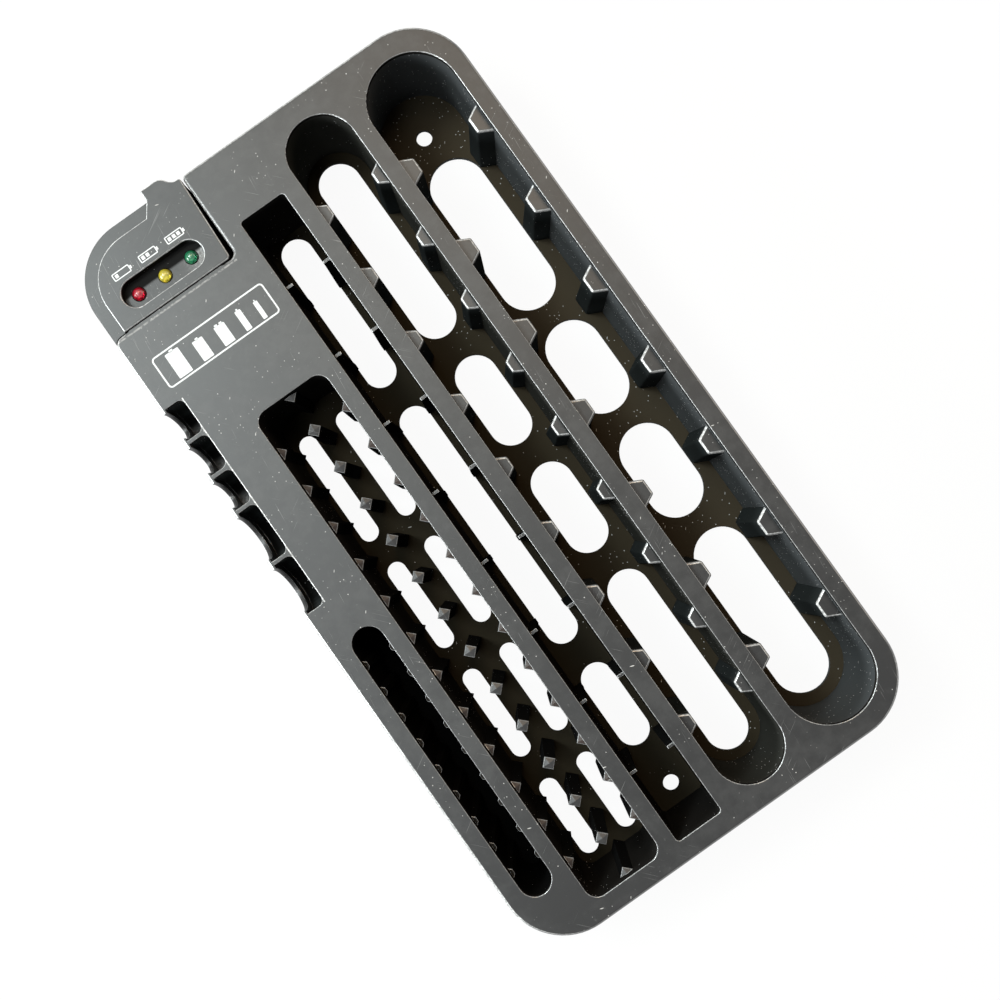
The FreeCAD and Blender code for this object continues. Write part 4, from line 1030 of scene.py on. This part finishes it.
# %% Wound spring
coil_low, coil_high = (Vector(corner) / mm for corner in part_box("return_spring"))
coil_length = coil_high.x - coil_low.x
coil_middle_y = (coil_low.y + coil_high.y) / 2
coil_middle_z = (coil_low.z + coil_high.z) / 2
wire_radius = 0.25
coil_radius = (coil_high.y - coil_low.y) / 2 - wire_radius
coil_turns = 12
coil_steps = 24
wire_sides = 10
end_flattening = 0.018


def wire_ring(mesh, turn):
    """A ring of points round the wire after some turns; the coil's end turns lie flatter."""
    share = turn / coil_turns
    settled = share + end_flattening * math.sin(4 * math.pi * share) / (4 * math.pi) * coil_turns / 3
    x = coil_low.x + wire_radius + settled * (coil_length - 2 * wire_radius)
    angle = 2 * math.pi * turn
    outward = Vector((0, math.cos(angle), math.sin(angle)))
    centre = Vector((x, coil_middle_y, coil_middle_z)) + outward * coil_radius
    ring = []
    for side in range(wire_sides):
        roll = 2 * math.pi * side / wire_sides
        offset = outward * math.cos(roll) + Vector((1, 0, 0)) * math.sin(roll)
        ring.append(mesh.verts.new((centre + offset * wire_radius) * mm))
    return ring


spring_mesh = bmesh.new()
rings = [wire_ring(spring_mesh, step / coil_steps) for step in range(coil_turns * coil_steps + 1)]
for first, second in zip(rings, rings[1:]):
    for side in range(wire_sides):
        after = (side + 1) % wire_sides
        spring_mesh.faces.new((first[side], first[after], second[after], second[side]))
spring_mesh.faces.new(rings[0][::-1])
spring_mesh.faces.new(rings[-1])
wound = piece("wound_return_spring", spring_mesh, spring_wire_steel, "tester", 60)
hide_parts("return_spring")
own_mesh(wound)

# %% [markdown]
# ## Printed marks
#
# The white marks are screen printed with a thick ink. They could be painted in the plastic's material,
# but thin plates keep crisp edges at any zoom. Over each lamp stands a small battery gauge with one,
# two or three bars. The plate beside the tester carries one outline round five battery shapes, from
# the largest size to the smallest.


# %% White ink
def printed_ink():
    recipe = new_recipe("white_ink")
    pinholes = recipe.ramp(recipe.noise(0.30, 3.0, 0.75), 0.62, 0.70)
    patches = recipe.noise(3.0, 3.0, 0.6)
    paint = recipe.blend(patches * 0.5 + pinholes * 0.6, grey(0.84, -0.01), grey(0.30))
    varying = {"Base Color": paint, "Roughness": 0.5 + patches * 0.1}
    return recipe.close(recipe.skin(varying, {"IOR": 1.45}, recipe.relief(patches - pinholes, 0.006)))


def rounded_outline(x, y, radius, steps=6):
    """Points round a rectangle with rounded corners, in mm."""
    points = []
    left, right = x[0] + radius, x[1] - radius
    low, high = y[0] + radius, y[1] - radius
    corners = ((right, high, 0), (left, high, 90), (left, low, 180), (right, low, 270))
    for middle_x, middle_y, start in corners:
        for step in range(steps + 1):
            angle = math.radians(start + 90 * step / steps)
            points.append((middle_x + radius * math.cos(angle), middle_y + radius * math.sin(angle)))
    return points


ink_thickness = 0.01


def solid_mark(mesh, points, surface):
    """A filled mark, its foot just inside the surface that it is printed on."""
    foot = [mesh.verts.new((x * mm, y * mm, (surface - ink_thickness) * mm)) for x, y in points]
    top = [mesh.verts.new((x * mm, y * mm, (surface + ink_thickness) * mm)) for x, y in points]
    mesh.faces.new(foot[::-1])
    mesh.faces.new(top)
    for i in range(len(points)):
        j = (i + 1) % len(points)
        mesh.faces.new((foot[i], foot[j], top[j], top[i]))


def outlined_mark(mesh, x, y, radius, line, surface):
    """A rounded rectangle drawn with a line of the given width."""
    outer = rounded_outline(x, y, radius)
    inner_radius = max(radius - line, 0.05)
    inner = rounded_outline((x[0] + line, x[1] - line), (y[0] + line, y[1] - line), inner_radius)
    foot = surface - ink_thickness
    top = surface + ink_thickness
    low_outer, low_inner, top_outer, top_inner = (
        [mesh.verts.new((a * mm, b * mm, z * mm)) for a, b in loop]
        for z, loop in ((foot, outer), (foot, inner), (top, outer), (top, inner)))
    for i in range(len(outer)):
        j = (i + 1) % len(outer)
        mesh.faces.new((top_outer[i], top_outer[j], top_inner[j], top_inner[i]))
        mesh.faces.new((low_outer[j], low_outer[i], low_inner[i], low_inner[j]))
        mesh.faces.new((low_outer[i], low_outer[j], top_outer[j], top_outer[i]))
        mesh.faces.new((low_inner[j], low_inner[i], top_inner[i], top_inner[j]))


ink = printed_ink()

# %% Battery gauges over the lamps
cover_top = cover_high.z
gauge_y = (134.3, 137.3)
gauge_middle = sum(gauge_y) / 2
gauge_length = 8.0
nub_length = 0.65
body_length = gauge_length - 0.7
bar_start = 0.95
bar_pitch = 1.9
bar_width = 1.3
bar_y = (gauge_middle - 0.7, gauge_middle + 0.7)
nub_y = (gauge_middle - nub_length, gauge_middle + nub_length)
for bars, (colour, (x, _)) in enumerate(lamp_places.items(), start=1):
    left = x - gauge_length / 2
    right = left + gauge_length
    gauge_mesh = bmesh.new()
    outlined_mark(gauge_mesh, (left, left + body_length), gauge_y, 0.5, 0.4, cover_top)
    solid_mark(gauge_mesh, rounded_outline((right - nub_length, right), nub_y, 0.2), cover_top)
    for bar in range(bars):
        bar_left = left + bar_start + bar * bar_pitch
        solid_mark(gauge_mesh, rounded_outline((bar_left, bar_left + bar_width), bar_y, 0.1), cover_top)
    piece(colour + "_gauge_mark", gauge_mesh, ink, "tester")

# %% Size chart on the deck
deck_top = box_in_mm("case_deck")[1].z
chart_x = (-74.6, -25.9)
chart_y = (91.2, 104.2)
chart_mesh = bmesh.new()
outlined_mark(chart_mesh, chart_x, chart_y, 1.6, 0.6, deck_top)
piece("size_chart_border", chart_mesh, ink, "case")

# %% Battery shapes in the chart
drawn_share = 0.165
battery_sizes = (("d", 34.2, 61.5), ("c", 26.2, 50.0), ("nine_volt", 26.5, 48.5),
                 ("aa", 14.5, 50.5), ("aaa", 10.5, 44.5))
drawn_width = drawn_share * sum(width for _, width, _ in battery_sizes)
chart_gap = (chart_x[1] - chart_x[0] - drawn_width) / (len(battery_sizes) + 1)
chart_foot = sum(chart_y) / 2 - battery_sizes[0][2] * drawn_share / 2 - 0.3
place = chart_x[0] + chart_gap
for size_name, width, tall in battery_sizes:
    wide = width * drawn_share
    top = chart_foot + tall * drawn_share
    mark_mesh = bmesh.new()
    body = rounded_outline((place, place + wide), (chart_foot, top), 0.35)
    solid_mark(mark_mesh, body, deck_top)
    for nub_share in (0.28, 0.72) if size_name == "nine_volt" else (0.5,):
        nub = place + wide * nub_share
        terminal = rounded_outline((nub - wide * 0.14, nub + wide * 0.14), (top - 0.2, top + 0.65), 0.15)
        solid_mark(mark_mesh, terminal, deck_top)
    piece(size_name + "_size_mark", mark_mesh, ink, "case")
    place += wide + chart_gap
print("marks stand", round(chart_gap, 2), "mm apart")
